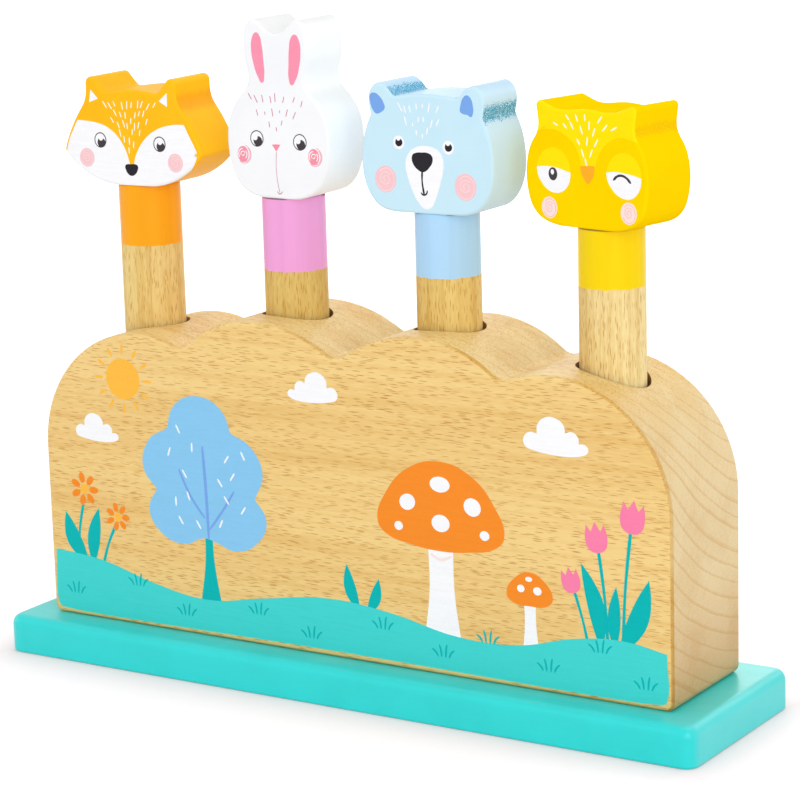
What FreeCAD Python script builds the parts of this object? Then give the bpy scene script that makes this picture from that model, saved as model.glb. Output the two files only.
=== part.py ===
import FreeCAD, Part
import math
import os

from FreeCAD import Vector

# Pop up toy: four wooden animals on sprung pegs that stand in a hill shaped block.
# Millimetres. X runs along the block, the faces look towards -Y, Z is up.
# The origin is the middle of the base board's underside.

# ---------------------------------------------------------------- driving sizes
# Row of pegs
PEG_PITCH = 67.4            # from one peg's axis to the next
PEG_DIAMETER = 24.0
PEG_END_ROUND = 0.8         # broken edge at the top of a peg
STROKE = 40.0               # how far a peg goes down

# Bores of the block: a narrow one guides the peg, a wide one below it holds the spring
GUIDE_CLEARANCE = 1.5       # all round the peg
SHOULDER_WIDTH = 3.0        # step from the guide bore out to the spring bore
DISC_CLEARANCE = 1.0        # all round the stop disc and the washer

# Hill block
END_WALL = 20.0             # wood from the last spring bore to the end of the block
SIDE_WALL = 10.2            # wood from a spring bore to the front or the back
END_CREST = 116.2           # end humps, above the underside of the block
END_HUMP_RADIUS = 48.0
MID_CREST = 125.3           # middle humps, above the underside of the block
MID_CREST_OFFSET = 2.3      # outward from the inner peg's axis
MID_OUTER_RADIUS = 49.0
MID_INNER_RADIUS = 60.0
VALLEY_ROUND = 6.0
BLOCK_FOOT_ROUND = 3.0      # lower corners of the block's two faces
BLOCK_EDGE_ROUND = 1.6

# Base board
BOARD_THICKNESS = 15.0
BOARD_END_OVERHANG = 14.0
BOARD_SIDE_OVERHANG = 13.2
BOARD_CORNER_RADIUS = 5.5
BOARD_TOP_ROUND = 4.0
BOARD_FOOT_ROUND = 1.0

# Stop disc, washer and spring under each peg
DISC_THICKNESS = 5.0
DISC_EDGE_ROUND = 0.6
WASHER_THICKNESS = 1.0
WASHER_BORE = 12.0
SPRING_SIDE_GAP = 2.6       # from the coil out to the spring bore
SPRING_WIRE = 1.8
SPRING_PRESSED = 37.0       # length of the spring with its peg right down
SPRING_TURNS = 8.5

# Wood screws: five hold the board to the block, one holds each stop disc
BASE_SCREW_SHANK = 4.0
BASE_SCREW_HEAD = 8.0
BASE_SCREW_LENGTH = 40.0
STOP_SCREW_SHANK = 3.5
STOP_SCREW_HEAD = 7.0
STOP_SCREW_LENGTH = 25.0
SCREW_CLEARANCE = 0.05      # all round a screw
SCREW_SINK = 0.3            # head below the surface
SCREW_TIP = 3.0             # length of the point
SLOT_WIDTH = 1.0            # cross recess
SLOT_DEPTH = 1.4

# Glued dowel between a peg and its head
PIN_DIAMETER = 8.0
PIN_LENGTH = 30.0
PIN_CLEARANCE = 0.05        # glue all round the dowel
PIN_END_GAP = 0.5           # air at each end of the dowel's hole
PIN_CHAMFER = 0.6

# Heads
HEAD_THICKNESS = 25.0
HEAD_EDGE_ROUND = 1.2
HEAD_SEAT = 0.4             # planed off the underside where the head sits on its peg
FOX_CHEEK_ROUND = 1.6
FOX_EAR_ROUND = 2.5
FOX_CROWN_ROUND = 3.0       # between an ear and the crown
BEAR_EAR_FOOT_ROUND = 2.0
BEAR_CROWN_ROUND = 2.5
OWL_EAR_ROUND = 1.8

FOX_PEG_LENGTH = 88.0
FOX_HEAD_WIDTH = 63.4
FOX_HEAD_HEIGHT = 41.4
FOX_TURN = 3.0              # degrees, how the head stands at rest
FOX_SHIFT = 1.3             # sideways from the peg's axis

RABBIT_PEG_LENGTH = 86.8
RABBIT_HEAD_WIDTH = 45.2
RABBIT_HEAD_HEIGHT = 66.6
RABBIT_TURN = 0.5
RABBIT_SHIFT = 2.1

BEAR_PEG_LENGTH = 84.9
BEAR_HEAD_WIDTH = 55.0
BEAR_HEAD_HEIGHT = 47.0
BEAR_TURN = 0.6
BEAR_SHIFT = -0.8

OWL_PEG_LENGTH = 83.4
OWL_HEAD_WIDTH = 54.5
OWL_HEAD_HEIGHT = 44.0
OWL_TURN = -10.5
OWL_SHIFT = -1.4

# Half outlines of the heads, from the middle of the chin to the middle of the crown.
# Each run is one smooth curve, and where two runs meet there is a corner, rounded by
# the radius that stands between them. Points are shares of (half width, height).
FOX_OUTLINE = (
    ((0, 0), (0.409, 0.022), (0.755, 0.138), (1, 0.315)),
    FOX_CHEEK_ROUND,
    ((1, 0.315), (0.921, 0.475), (0.774, 0.673), (0.68, 0.789), (0.656, 0.92), (0.654, 1.1)),
    FOX_EAR_ROUND,
    ((0.654, 1.1), (0.378, 0.866)),
    FOX_CROWN_ROUND,
    ((0.378, 0.866), (0.189, 0.884), (0, 0.896)),
)
RABBIT_OUTLINE = (
    ((0, 0), (0.416, 0.008), (0.738, 0.057), (0.934, 0.162), (1, 0.291), (0.969, 0.426),
     (0.78, 0.55), (0.592, 0.623), (0.549, 0.679), (0.61, 0.783), (0.619, 0.874),
     (0.565, 0.965), (0.426, 1), (0.215, 0.952), (0, 0.921)),
)
BEAR_OUTLINE = (
    ((0, 0), (0.396, 0.003), (0.738, 0.042), (0.938, 0.185), (1, 0.428), (0.966, 0.578),
     (0.85, 0.754)),
    BEAR_EAR_FOOT_ROUND,
    ((0.85, 0.754), (0.876, 0.838), (0.862, 0.929), (0.724, 1), (0.571, 0.957),
     (0.494, 0.899)),
    BEAR_CROWN_ROUND,
    ((0.494, 0.899), (0.212, 0.918), (0, 0.924)),
)
OWL_OUTLINE = (
    ((0, 0), (0.278, 0.002), (0.556, 0.017), (0.759, 0.06), (0.896, 0.138), (0.97, 0.253),
     (1, 0.402), (0.978, 0.54), (0.9, 0.667), (0.822, 0.74), (0.79, 0.805),
     (0.797, 0.885), (0.818, 1.02)),
    OWL_EAR_ROUND,
    ((0.818, 1.02), (0.63, 0.976), (0.45, 0.943), (0.22, 0.947), (0, 0.957)),
)

# name, outline, head width, head height, peg length, turn, shift
ANIMALS = (
    ("fox", FOX_OUTLINE, FOX_HEAD_WIDTH, FOX_HEAD_HEIGHT, FOX_PEG_LENGTH, FOX_TURN, FOX_SHIFT),
    ("rabbit", RABBIT_OUTLINE, RABBIT_HEAD_WIDTH, RABBIT_HEAD_HEIGHT, RABBIT_PEG_LENGTH,
     RABBIT_TURN, RABBIT_SHIFT),
    ("bear", BEAR_OUTLINE, BEAR_HEAD_WIDTH, BEAR_HEAD_HEIGHT, BEAR_PEG_LENGTH, BEAR_TURN,
     BEAR_SHIFT),
    ("owl", OWL_OUTLINE, OWL_HEAD_WIDTH, OWL_HEAD_HEIGHT, OWL_PEG_LENGTH, OWL_TURN, OWL_SHIFT),
)

# ---------------------------------------------------------------- worked out sizes
HIGHEST_CREST = max(END_CREST, MID_CREST)
GUIDE_BORE = PEG_DIAMETER + 2 * GUIDE_CLEARANCE
SPRING_BORE = GUIDE_BORE + 2 * SHOULDER_WIDTH
DISC_DIAMETER = SPRING_BORE - 2 * DISC_CLEARANCE
SPRING_REST = SPRING_PRESSED + STROKE
SPRING_BORE_DEPTH = SPRING_REST + WASHER_THICKNESS + DISC_THICKNESS
SPRING_RADIUS = SPRING_BORE / 2 - SPRING_SIDE_GAP - SPRING_WIRE / 2

BLOCK_FOOT = BOARD_THICKNESS
PEG_FOOT = BLOCK_FOOT + SPRING_BORE_DEPTH       # also the shoulder that stops the disc
DISC_FOOT = PEG_FOOT - DISC_THICKNESS
WASHER_FOOT = DISC_FOOT - WASHER_THICKNESS

LAST_PEG_X = (len(ANIMALS) - 1) / 2 * PEG_PITCH
HALF_LENGTH = LAST_PEG_X + SPRING_BORE / 2 + END_WALL
HALF_WIDTH = SPRING_BORE / 2 + SIDE_WALL
BOARD_HALF_LENGTH = HALF_LENGTH + BOARD_END_OVERHANG
BOARD_HALF_WIDTH = HALF_WIDTH + BOARD_SIDE_OVERHANG

ALONG_Y = Vector(0, 1, 0)
UP = Vector(0, 0, 1)


def peg_x(index):
    """X of a peg's axis, counted from the left."""
    return index * PEG_PITCH - LAST_PEG_X


def in_front_plane(x, z, y=0.0):
    """A point of an outline that is drawn in the XZ plane."""
    return Vector(x, y, z)


def cylinder(diameter, height, x=0.0, y=0.0, z=0.0):
    """An upright cylinder that stands on z."""
    return Part.makeCylinder(diameter / 2, height, Vector(x, y, z), UP)


def cone(foot_diameter, top_diameter, height, x=0.0, y=0.0, z=0.0):
    """An upright cone that stands on z."""
    return Part.makeCone(foot_diameter / 2, top_diameter / 2, height, Vector(x, y, z), UP)


def edges_along(shape, direction, points):
    """Straight edges that run along a direction through one of the points (x, z)."""
    found = []
    for edge in shape.Edges:
        start, end = edge.firstVertex().Point, edge.lastVertex().Point
        run = end - start
        if run.Length < 1e-6 or run.cross(direction).Length > 1e-6 * run.Length:
            continue
        if any(math.hypot(start.x - x, start.z - z) < 1e-4 for x, z in points):
            found.append(edge)
    return found


def outline_edges(shape, y):
    """The edges of a slab's outline in the plane y."""
    return [edge for edge in shape.Edges
            if abs(edge.BoundBox.YMin - y) < 1e-5 and abs(edge.BoundBox.YMax - y) < 1e-5]


def edges_at_height(shape, z):
    """The edges that lie level at z."""
    return [edge for edge in shape.Edges
            if abs(edge.BoundBox.ZMin - z) < 1e-5 and abs(edge.BoundBox.ZMax - z) < 1e-5]


# ---------------------------------------------------------------- screws
def wood_screw(shank, head, length, tip=SCREW_TIP):
    """A countersunk wood screw that points up, its head's face on z = 0."""
    sink = (head - shank) / 2
    body = cone(head, shank, sink)
    body = body.fuse(cylinder(shank, length - sink - tip, z=sink))
    body = body.fuse(cone(shank, shank / 6, tip, z=length - tip))
    reach = head * 0.6
    for size_x, size_y in ((reach, SLOT_WIDTH), (SLOT_WIDTH, reach)):
        slot = Part.makeBox(size_x, size_y, SLOT_DEPTH, Vector(-size_x / 2, -size_y / 2, 0))
        body = body.cut(slot)
    return body.removeSplitter()


def screw_hole(shank, head, length, surface):
    """What a screw takes out of the wood, with its open end on the surface z."""
    head_face = surface + SCREW_SINK
    wide = head + 2 * SCREW_CLEARANCE
    narrow = shank + 2 * SCREW_CLEARANCE
    sink = (head - shank) / 2
    hole = cylinder(wide, SCREW_SINK, z=surface)
    hole = hole.fuse(cone(wide, narrow, sink, z=head_face))
    return hole.fuse(cylinder(narrow, length - sink + SCREW_CLEARANCE, z=head_face + sink))


def base_screw_places():
    """Screw axes along the middle of the board: between the bores and near both ends."""
    between = [peg_x(i) + PEG_PITCH / 2 for i in range(len(ANIMALS) - 1)]
    end = HALF_LENGTH - END_WALL / 2
    return [-end] + between + [end]


def base_screws():
    """The row of screws that holds the board to the block."""
    screw = wood_screw(BASE_SCREW_SHANK, BASE_SCREW_HEAD, BASE_SCREW_LENGTH)
    return Part.makeCompound([screw.translated(Vector(x, 0, SCREW_SINK))
                              for x in base_screw_places()])


def base_screw_holes():
    """The holes of that row, through the board and into the block."""
    hole = screw_hole(BASE_SCREW_SHANK, BASE_SCREW_HEAD, BASE_SCREW_LENGTH, 0.0)
    return [hole.translated(Vector(x, 0, 0)) for x in base_screw_places()]


# ---------------------------------------------------------------- board and block
def base_board():
    """The board that closes the block from below."""
    size = Vector(2 * BOARD_HALF_LENGTH, 2 * BOARD_HALF_WIDTH, BOARD_THICKNESS)
    board = Part.makeBox(size.x, size.y, size.z, Vector(-size.x / 2, -size.y / 2, 0))
    upright = [edge for edge in board.Edges if edge.BoundBox.ZLength > size.z / 2]
    board = board.makeFillet(BOARD_CORNER_RADIUS, upright)
    board = board.makeFillet(BOARD_TOP_ROUND, edges_at_height(board, BOARD_THICKNESS))
    board = board.makeFillet(BOARD_FOOT_ROUND, edges_at_height(board, 0.0))
    return board.cut(base_screw_holes())


def arcs_meet(centre_a, radius_a, centre_b, radius_b):
    """The upper point where two circles of the hill's outline cross, as (x, z)."""
    dx, dz = centre_b[0] - centre_a[0], centre_b[1] - centre_a[1]
    apart = math.hypot(dx, dz)
    along = (radius_a ** 2 - radius_b ** 2 + apart ** 2) / (2 * apart)
    across = math.sqrt(radius_a ** 2 - along ** 2)
    mid_x, mid_z = centre_a[0] + along * dx / apart, centre_a[1] + along * dz / apart
    ends = ((mid_x - across * dz / apart, mid_z + across * dx / apart),
            (mid_x + across * dz / apart, mid_z - across * dx / apart))
    return max(ends, key=lambda point: point[1])


def hill_arc(centre, radius, start, end):
    """An arc of the hill's outline from start to end over the top of its circle."""
    angles = [math.atan2(z - centre[1], x - centre[0]) for x, z in (start, end)]
    middle = sum(angles) / 2
    top = (centre[0] + radius * math.cos(middle), centre[1] + radius * math.sin(middle))
    return Part.Arc(*[in_front_plane(x, z) for x, z in (start, top, end)]).toShape()


def hill_outline():
    """The closed outline of the block, and the points (x, z) of its valleys and feet."""
    end_centre = (HALF_LENGTH - END_HUMP_RADIUS, BLOCK_FOOT + END_CREST - END_HUMP_RADIUS)
    crest_x = PEG_PITCH / 2 + MID_CREST_OFFSET
    crest_z = BLOCK_FOOT + MID_CREST
    outer_centre = (crest_x, crest_z - MID_OUTER_RADIUS)
    inner_centre = (crest_x, crest_z - MID_INNER_RADIUS)
    foot = (HALF_LENGTH, BLOCK_FOOT)
    shoulder = (HALF_LENGTH, end_centre[1])
    valley = arcs_meet(end_centre, END_HUMP_RADIUS, outer_centre, MID_OUTER_RADIUS)
    crest = (crest_x, crest_z)
    middle = (0.0, inner_centre[1] + math.sqrt(MID_INNER_RADIUS ** 2 - crest_x ** 2))
    right = [
        Part.makeLine(in_front_plane(*foot), in_front_plane(*shoulder)),
        hill_arc(end_centre, END_HUMP_RADIUS, shoulder, valley),
        hill_arc(outer_centre, MID_OUTER_RADIUS, valley, crest),
        hill_arc(inner_centre, MID_INNER_RADIUS, crest, middle),
    ]
    left = [edge.mirror(Vector(0, 0, 0), Vector(1, 0, 0)) for edge in right]
    underside = Part.makeLine(in_front_plane(-HALF_LENGTH, BLOCK_FOOT), in_front_plane(*foot))
    wire = Part.Wire(Part.__sortEdges__(right + left + [underside]))
    valleys = [valley, middle, (-valley[0], valley[1])]
    feet = [foot, (-HALF_LENGTH, BLOCK_FOOT)]
    return wire, valleys, feet


def hill_block():
    """The block with its humps, the four stepped bores and the screw holes."""
    wire, valleys, feet = hill_outline()
    block = Part.Face(wire).extrude(ALONG_Y * 2 * HALF_WIDTH).translated(ALONG_Y * -HALF_WIDTH)
    block = block.makeFillet(VALLEY_ROUND, edges_along(block, ALONG_Y, valleys))
    block = block.makeFillet(BLOCK_FOOT_ROUND, edges_along(block, ALONG_Y, feet))
    faces = outline_edges(block, -HALF_WIDTH) + outline_edges(block, HALF_WIDTH)
    block = block.makeFillet(BLOCK_EDGE_ROUND, faces)
    bores = base_screw_holes()
    for index in range(len(ANIMALS)):
        x = peg_x(index)
        bores.append(cylinder(GUIDE_BORE, HIGHEST_CREST, x, 0, BLOCK_FOOT))
        bores.append(cylinder(SPRING_BORE, SPRING_BORE_DEPTH, x, 0, BLOCK_FOOT))
    return block.cut(bores)


# ---------------------------------------------------------------- under each peg
def stop_disc(x):
    """The disc under a peg, which the shoulder of the bore stops."""
    disc = cylinder(DISC_DIAMETER, DISC_THICKNESS, x, 0, DISC_FOOT)
    rims = edges_at_height(disc, DISC_FOOT) + edges_at_height(disc, PEG_FOOT)
    disc = disc.makeFillet(DISC_EDGE_ROUND, rims)
    hole = screw_hole(STOP_SCREW_SHANK, STOP_SCREW_HEAD, STOP_SCREW_LENGTH, DISC_FOOT)
    return disc.cut(hole.translated(Vector(x, 0, 0)))


def stop_screw(x):
    """The screw that holds the disc to the peg."""
    screw = wood_screw(STOP_SCREW_SHANK, STOP_SCREW_HEAD, STOP_SCREW_LENGTH)
    return screw.translated(Vector(x, 0, DISC_FOOT + SCREW_SINK))


def spring_washer(x):
    """The flat washer on which the disc turns, on top of the spring."""
    ring = cylinder(DISC_DIAMETER, WASHER_THICKNESS, x, 0, WASHER_FOOT)
    return ring.cut(cylinder(WASHER_BORE, WASHER_THICKNESS, x, 0, WASHER_FOOT))


def spring(x):
    """A compression spring with ground ends, from the board up to the washer."""
    pitch = SPRING_REST / SPRING_TURNS
    helix = Part.makeHelix(pitch, SPRING_REST + 2 * SPRING_WIRE, SPRING_RADIUS)
    start = Vector(SPRING_RADIUS, 0, 0)
    tangent = Vector(0, 2 * math.pi * SPRING_RADIUS, pitch)
    section = Part.Wire(Part.makeCircle(SPRING_WIRE / 2, start, tangent))
    coil = Part.Wire(helix).makePipeShell([section], True, True)
    coil = coil.translated(Vector(x, 0, BLOCK_FOOT - SPRING_WIRE))
    room = cylinder(SPRING_BORE, SPRING_REST, x, 0, BLOCK_FOOT)
    return room.common(coil)


# ---------------------------------------------------------------- pegs and heads
def peg(x, length):
    """A round peg, with a hole for the screw below and one for the dowel above."""
    top = PEG_FOOT + length
    body = cylinder(PEG_DIAMETER, length, x, 0, PEG_FOOT)
    body = body.makeFillet(PEG_END_ROUND, edges_at_height(body, top))
    screw = screw_hole(STOP_SCREW_SHANK, STOP_SCREW_HEAD, STOP_SCREW_LENGTH, DISC_FOOT)
    depth = PIN_LENGTH / 2 + PIN_END_GAP
    dowel = cylinder(PIN_DIAMETER + 2 * PIN_CLEARANCE, depth, x, 0, top - depth)
    return body.cut([screw.translated(Vector(x, 0, 0)), dowel])


def neck_pin(x, length):
    """The dowel that joins a peg and its head."""
    foot = PEG_FOOT + length - PIN_LENGTH / 2
    pin = cylinder(PIN_DIAMETER, PIN_LENGTH, x, 0, foot)
    ends = edges_at_height(pin, foot) + edges_at_height(pin, foot + PIN_LENGTH)
    return pin.makeChamfer(PIN_CHAMFER, ends)


def outline_run(points):
    """A straight edge through two points, or a smooth curve through more."""
    places = [in_front_plane(*point) for point in points]
    if len(places) == 2:
        return Part.makeLine(*places)
    curve = Part.BSplineCurve()
    curve.interpolate(Points=places)
    return curve.toShape()


def head_wire(outline, half_width, height):
    """The closed outline of a head, and its corners as {(x, z): radius}."""
    runs = [[(u * half_width, v * height) for u, v in run]
            for run in outline if isinstance(run, tuple)]
    radii = [item for item in outline if not isinstance(item, tuple)]
    if len(runs) == 1:
        right = runs[0]
        around = right + [(-x, z) for x, z in reversed(right[1:-1])]
        curve = Part.BSplineCurve()
        curve.interpolate(Points=[in_front_plane(*point) for point in around],
                          PeriodicFlag=True)
        return Part.Wire(curve.toShape()), {}
    chin, crown = runs[0], runs[-1]
    whole_chin = [(-x, z) for x, z in reversed(chin[1:])] + chin
    whole_crown = crown + [(-x, z) for x, z in reversed(crown[:-1])]
    edges = [outline_run(whole_chin), outline_run(whole_crown)]
    for run in runs[1:-1]:
        edges.append(outline_run(run))
        edges.append(outline_run([(-x, z) for x, z in run]))
    corners = {}
    for run, radius in zip(runs[1:], radii):
        x, z = run[0]
        corners[(x, z)] = radius
        corners[(-x, z)] = radius
    return Part.Wire(Part.__sortEdges__(edges)), corners


def head(x, outline, width, height, length, turn, shift):
    """A head sawn from a thick board, its edges rounded, on top of its peg."""
    wire, corners = head_wire(outline, width / 2, height)
    slab = Part.Face(wire).extrude(ALONG_Y * HEAD_THICKNESS)
    slab = slab.translated(ALONG_Y * (-HEAD_THICKNESS / 2))
    for radius in sorted(set(corners.values()), reverse=True):
        places = [point for point, size in corners.items() if size == radius]
        slab = slab.makeFillet(radius, edges_along(slab, ALONG_Y, places))
    faces = outline_edges(slab, -HEAD_THICKNESS / 2) + outline_edges(slab, HEAD_THICKNESS / 2)
    slab = slab.makeFillet(HEAD_EDGE_ROUND, faces)
    slab.translate(Vector(shift, 0, -HEAD_SEAT))
    planed = Part.makeBox(2 * width, 2 * HEAD_THICKNESS, height,
                          Vector(-width, -HEAD_THICKNESS, -height))
    dowel = cylinder(PIN_DIAMETER + 2 * PIN_CLEARANCE, PIN_LENGTH / 2 + PIN_END_GAP)
    slab = slab.cut([planed, dowel])
    slab.rotate(Vector(0, 0, 0), UP, turn)
    return slab.translated(Vector(x, 0, PEG_FOOT + length))


# ---------------------------------------------------------------- the whole toy
def build():
    """Every piece of the toy by its name."""
    nodes = {
        "base_board": base_board(),
        "hill_block": hill_block(),
        "base_screws": base_screws(),
    }
    for index, (name, outline, width, height, length, turn, shift) in enumerate(ANIMALS):
        x = peg_x(index)
        nodes["peg_" + name] = peg(x, length)
        nodes["head_" + name] = head(x, outline, width, height, length, turn, shift)
        nodes["neck_pin_" + name] = neck_pin(x, length)
        nodes["stop_disc_" + name] = stop_disc(x)
        nodes["stop_screw_" + name] = stop_screw(x)
        nodes["spring_washer_" + name] = spring_washer(x)
        nodes["spring_" + name] = spring(x)
    return nodes


os.makedirs("parts", exist_ok=True)
for node, shape in build().items():
    shape.exportStep(os.path.join("parts", node + ".step"))
    print(node, "solids", len(shape.Solids), "valid", shape.isValid(),
          "volume", round(shape.Volume, 1))
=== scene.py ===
"""Dresses the pop up toy: woods, paints, printed faces and meadow, springs and studio."""

from __future__ import annotations

import logging
import math
from dataclasses import dataclass, field, replace
from enum import Enum
from functools import cached_property
from typing import ClassVar, Sequence

import bpy
from mathutils import Matrix, Vector

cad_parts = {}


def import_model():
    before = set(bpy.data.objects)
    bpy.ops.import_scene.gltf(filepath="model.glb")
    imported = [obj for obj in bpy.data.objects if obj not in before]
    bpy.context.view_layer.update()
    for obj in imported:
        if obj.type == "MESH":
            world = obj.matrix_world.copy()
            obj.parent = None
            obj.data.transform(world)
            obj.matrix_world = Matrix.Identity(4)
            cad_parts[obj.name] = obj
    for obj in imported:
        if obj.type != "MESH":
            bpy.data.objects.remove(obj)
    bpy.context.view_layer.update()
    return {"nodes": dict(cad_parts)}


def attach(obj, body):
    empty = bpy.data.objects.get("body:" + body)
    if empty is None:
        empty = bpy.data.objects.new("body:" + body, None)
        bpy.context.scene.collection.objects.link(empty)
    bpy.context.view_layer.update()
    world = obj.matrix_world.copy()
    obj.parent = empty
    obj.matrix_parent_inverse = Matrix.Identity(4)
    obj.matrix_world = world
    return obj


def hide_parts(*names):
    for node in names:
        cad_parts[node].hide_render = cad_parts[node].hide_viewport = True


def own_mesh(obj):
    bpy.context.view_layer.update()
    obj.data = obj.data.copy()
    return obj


LOG = logging.getLogger("pop_up_toy")
MM = 0.001
MERGE = 1e-6

Point = tuple[float, float]
Place = tuple[float, float, float]
Colour = tuple[float, float, float]
Range = tuple[float, float, float, float]
Socket = bpy.types.NodeSocket
Value = Socket | float
Shade = Socket | Colour
Nodes = dict[str, bpy.types.Object]
Finishes = dict[str, bpy.types.Material]

# Sizes that the toy and its finishes share, in millimetres.
PEG_PITCH = 67.4
BOARD_HALF = (151.6, 39.9)
BLOCK_FRONT = 26.7
HEAD_THICKNESS = 25.0

# Points around an oval, and on one turn of a scribble.
OVAL_POINTS = 10
TURN_POINTS = 12


# ---------------------------------------------------------------- outlines for paint and print
@dataclass(frozen=True)
class Outline:
    """A closed flat shape in millimetres.

    Attributes:
        points: The points around it, each (right, up).
        corners: Which of them are sharp; the others are passed smoothly.
    """

    points: tuple[Point, ...]
    corners: frozenset[int] = frozenset()

    def moved(self, right: float, up: float, size: float = 1.0, flip: bool = False) -> Outline:
        """A copy, scaled about the origin, flipped if asked, and then moved.

        Args:
            right: Millimetres to the right.
            up: Millimetres up.
            size: Scale before the move.
            flip: Whether left and right change sides.

        Returns:
            The moved outline.
        """
        side = -size if flip else size
        return Outline(tuple((x * side + right, y * size + up) for x, y in self.points),
                       self.corners)


def shape(*points: tuple) -> Outline:
    """An outline from points (right, up), or (right, up, "c") for a corner.

    Args:
        *points: The points around the shape.

    Returns:
        The outline.
    """
    corners = frozenset(i for i, point in enumerate(points) if len(point) == 3)
    return Outline(tuple((point[0], point[1]) for point in points), corners)


def oval(right: float, up: float, wide: float, tall: float, turn: float = 0.0) -> Outline:
    """An ellipse.

    Args:
        right: Its centre.
        up: Its centre.
        wide: Half its width.
        tall: Half its height.
        turn: Degrees counterclockwise.

    Returns:
        The outline.
    """
    points = []
    c, s = math.cos(math.radians(turn)), math.sin(math.radians(turn))
    for i in range(OVAL_POINTS):
        a = i * math.tau / OVAL_POINTS
        x, y = wide * math.cos(a), tall * math.sin(a)
        points.append((right + x * c - y * s, up + x * s + y * c))
    return Outline(tuple(points))


def stroke(points: Sequence[Point], width: float, taper: float = 0.5) -> Outline:
    """A drawn line with round ends that thins towards them.

    Args:
        points: The points that the line passes.
        width: Its width in the middle.
        taper: Its width near the ends, as a share of the middle's.

    Returns:
        The outline around the line.
    """
    line = [Vector(point) for point in points]
    if len(line) == 2:
        line.insert(1, (line[0] + line[1]) / 2)
    left, right = [], []
    last = len(line) - 1
    for i, place in enumerate(line):
        along = (line[min(i + 1, last)] - line[max(i - 1, 0)]).normalized()
        across = Vector((-along.y, along.x))
        share = i / last
        half = width / 2 * (taper + (1 - taper) * math.sin(math.pi * share) ** 0.5)
        left.append(place + across * half)
        right.append(place - across * half)
    first = line[0] - (line[1] - line[0]).normalized() * width * taper * 0.5
    end = line[-1] + (line[-1] - line[-2]).normalized() * width * taper * 0.5
    around = [first, *left, end, *reversed(right)]
    return Outline(tuple((p.x, p.y) for p in around))


def spiral(right: float, up: float, outer: float, inner: float, turns: float,
           width: float, start: float = 0.0) -> Outline:
    """A loosely scribbled spiral line.

    Args:
        right: Its centre.
        up: Its centre.
        outer: The radius at its outer end.
        inner: The radius at its inner end.
        turns: How often it goes round.
        width: Width of the line.
        start: Degrees at the outer end.

    Returns:
        The outline around the line.
    """
    count = int(turns * TURN_POINTS)
    line = []
    for i in range(count + 1):
        share = i / count
        a = math.radians(start) + share * turns * math.tau
        r = outer + (inner - outer) * share
        r *= 1 + 0.05 * math.sin(2.3 * a + start)
        line.append((right + r * math.cos(a), up + 1.06 * r * math.sin(a)))
    return stroke(line, width, 0.8)


def tick(right: float, up: float, length: float, lean: float, width: float) -> Outline:
    """A short tapered dash.

    Args:
        right: Its centre.
        up: Its centre.
        length: From end to end.
        lean: Degrees from upright, positive leaning to the right.
        width: In the middle.

    Returns:
        The outline.
    """
    a = math.radians(lean)
    dx, dy = math.sin(a) * length / 2, math.cos(a) * length / 2
    return stroke([(right - dx, up - dy), (right + dx, up + dy)], width, 0.55)


def uneven(index: int, spread: float) -> float:
    """A fixed value that differs from index to index.

    Args:
        index: Which value.
        spread: The most that it can be, up or down.

    Returns:
        The value.
    """
    return spread * math.sin(index * 12.9898 + 4.1414 * index * index)


@dataclass(frozen=True)
class TickRow:
    """A row of ticks on a forehead.

    Attributes:
        up: Height of the row.
        places: Where each tick stands, from left to right.
        fan: Degrees of lean for each millimetre from the middle.
        length: Of one tick.
    """

    up: float
    places: tuple[float, ...]
    fan: float = 3.4
    length: float = 2.5

    def ticks(self, width: float, middle: float = 0.0) -> list[Outline]:
        """The ticks of the row.

        Args:
            width: Width of one tick.
            middle: Where a tick stands upright.

        Returns:
            One outline for each tick.
        """
        made = []
        for i, right in enumerate(self.places):
            seed = int(self.up * 7) + i
            made.append(tick(right, self.up + uneven(seed, 0.5),
                             self.length * (1 + uneven(seed + 9, 0.2)),
                             (right - middle) * self.fan + uneven(seed + 2, 6), width))
        return made


# ---------------------------------------------------------------- node graphs
def tinted(colour: Colour, tint: Sequence[float]) -> Colour:
    """A colour times a tint.

    Args:
        colour: The colour.
        tint: A factor for each of its three numbers.

    Returns:
        The new colour.
    """
    red, green, blue = (value * factor for value, factor in zip(colour, tint))
    return red, green, blue


@dataclass(frozen=True)
class Weave:
    """Noise that is stretched differently along three directions.

    Attributes:
        scales: How fast it changes along each of them, per millimetre.
        detail: How many finer layers it has.
        roughness: How strong the finer layers are.
    """

    scales: tuple[float, float, float]
    detail: float = 2.0
    roughness: float = 0.5


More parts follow.
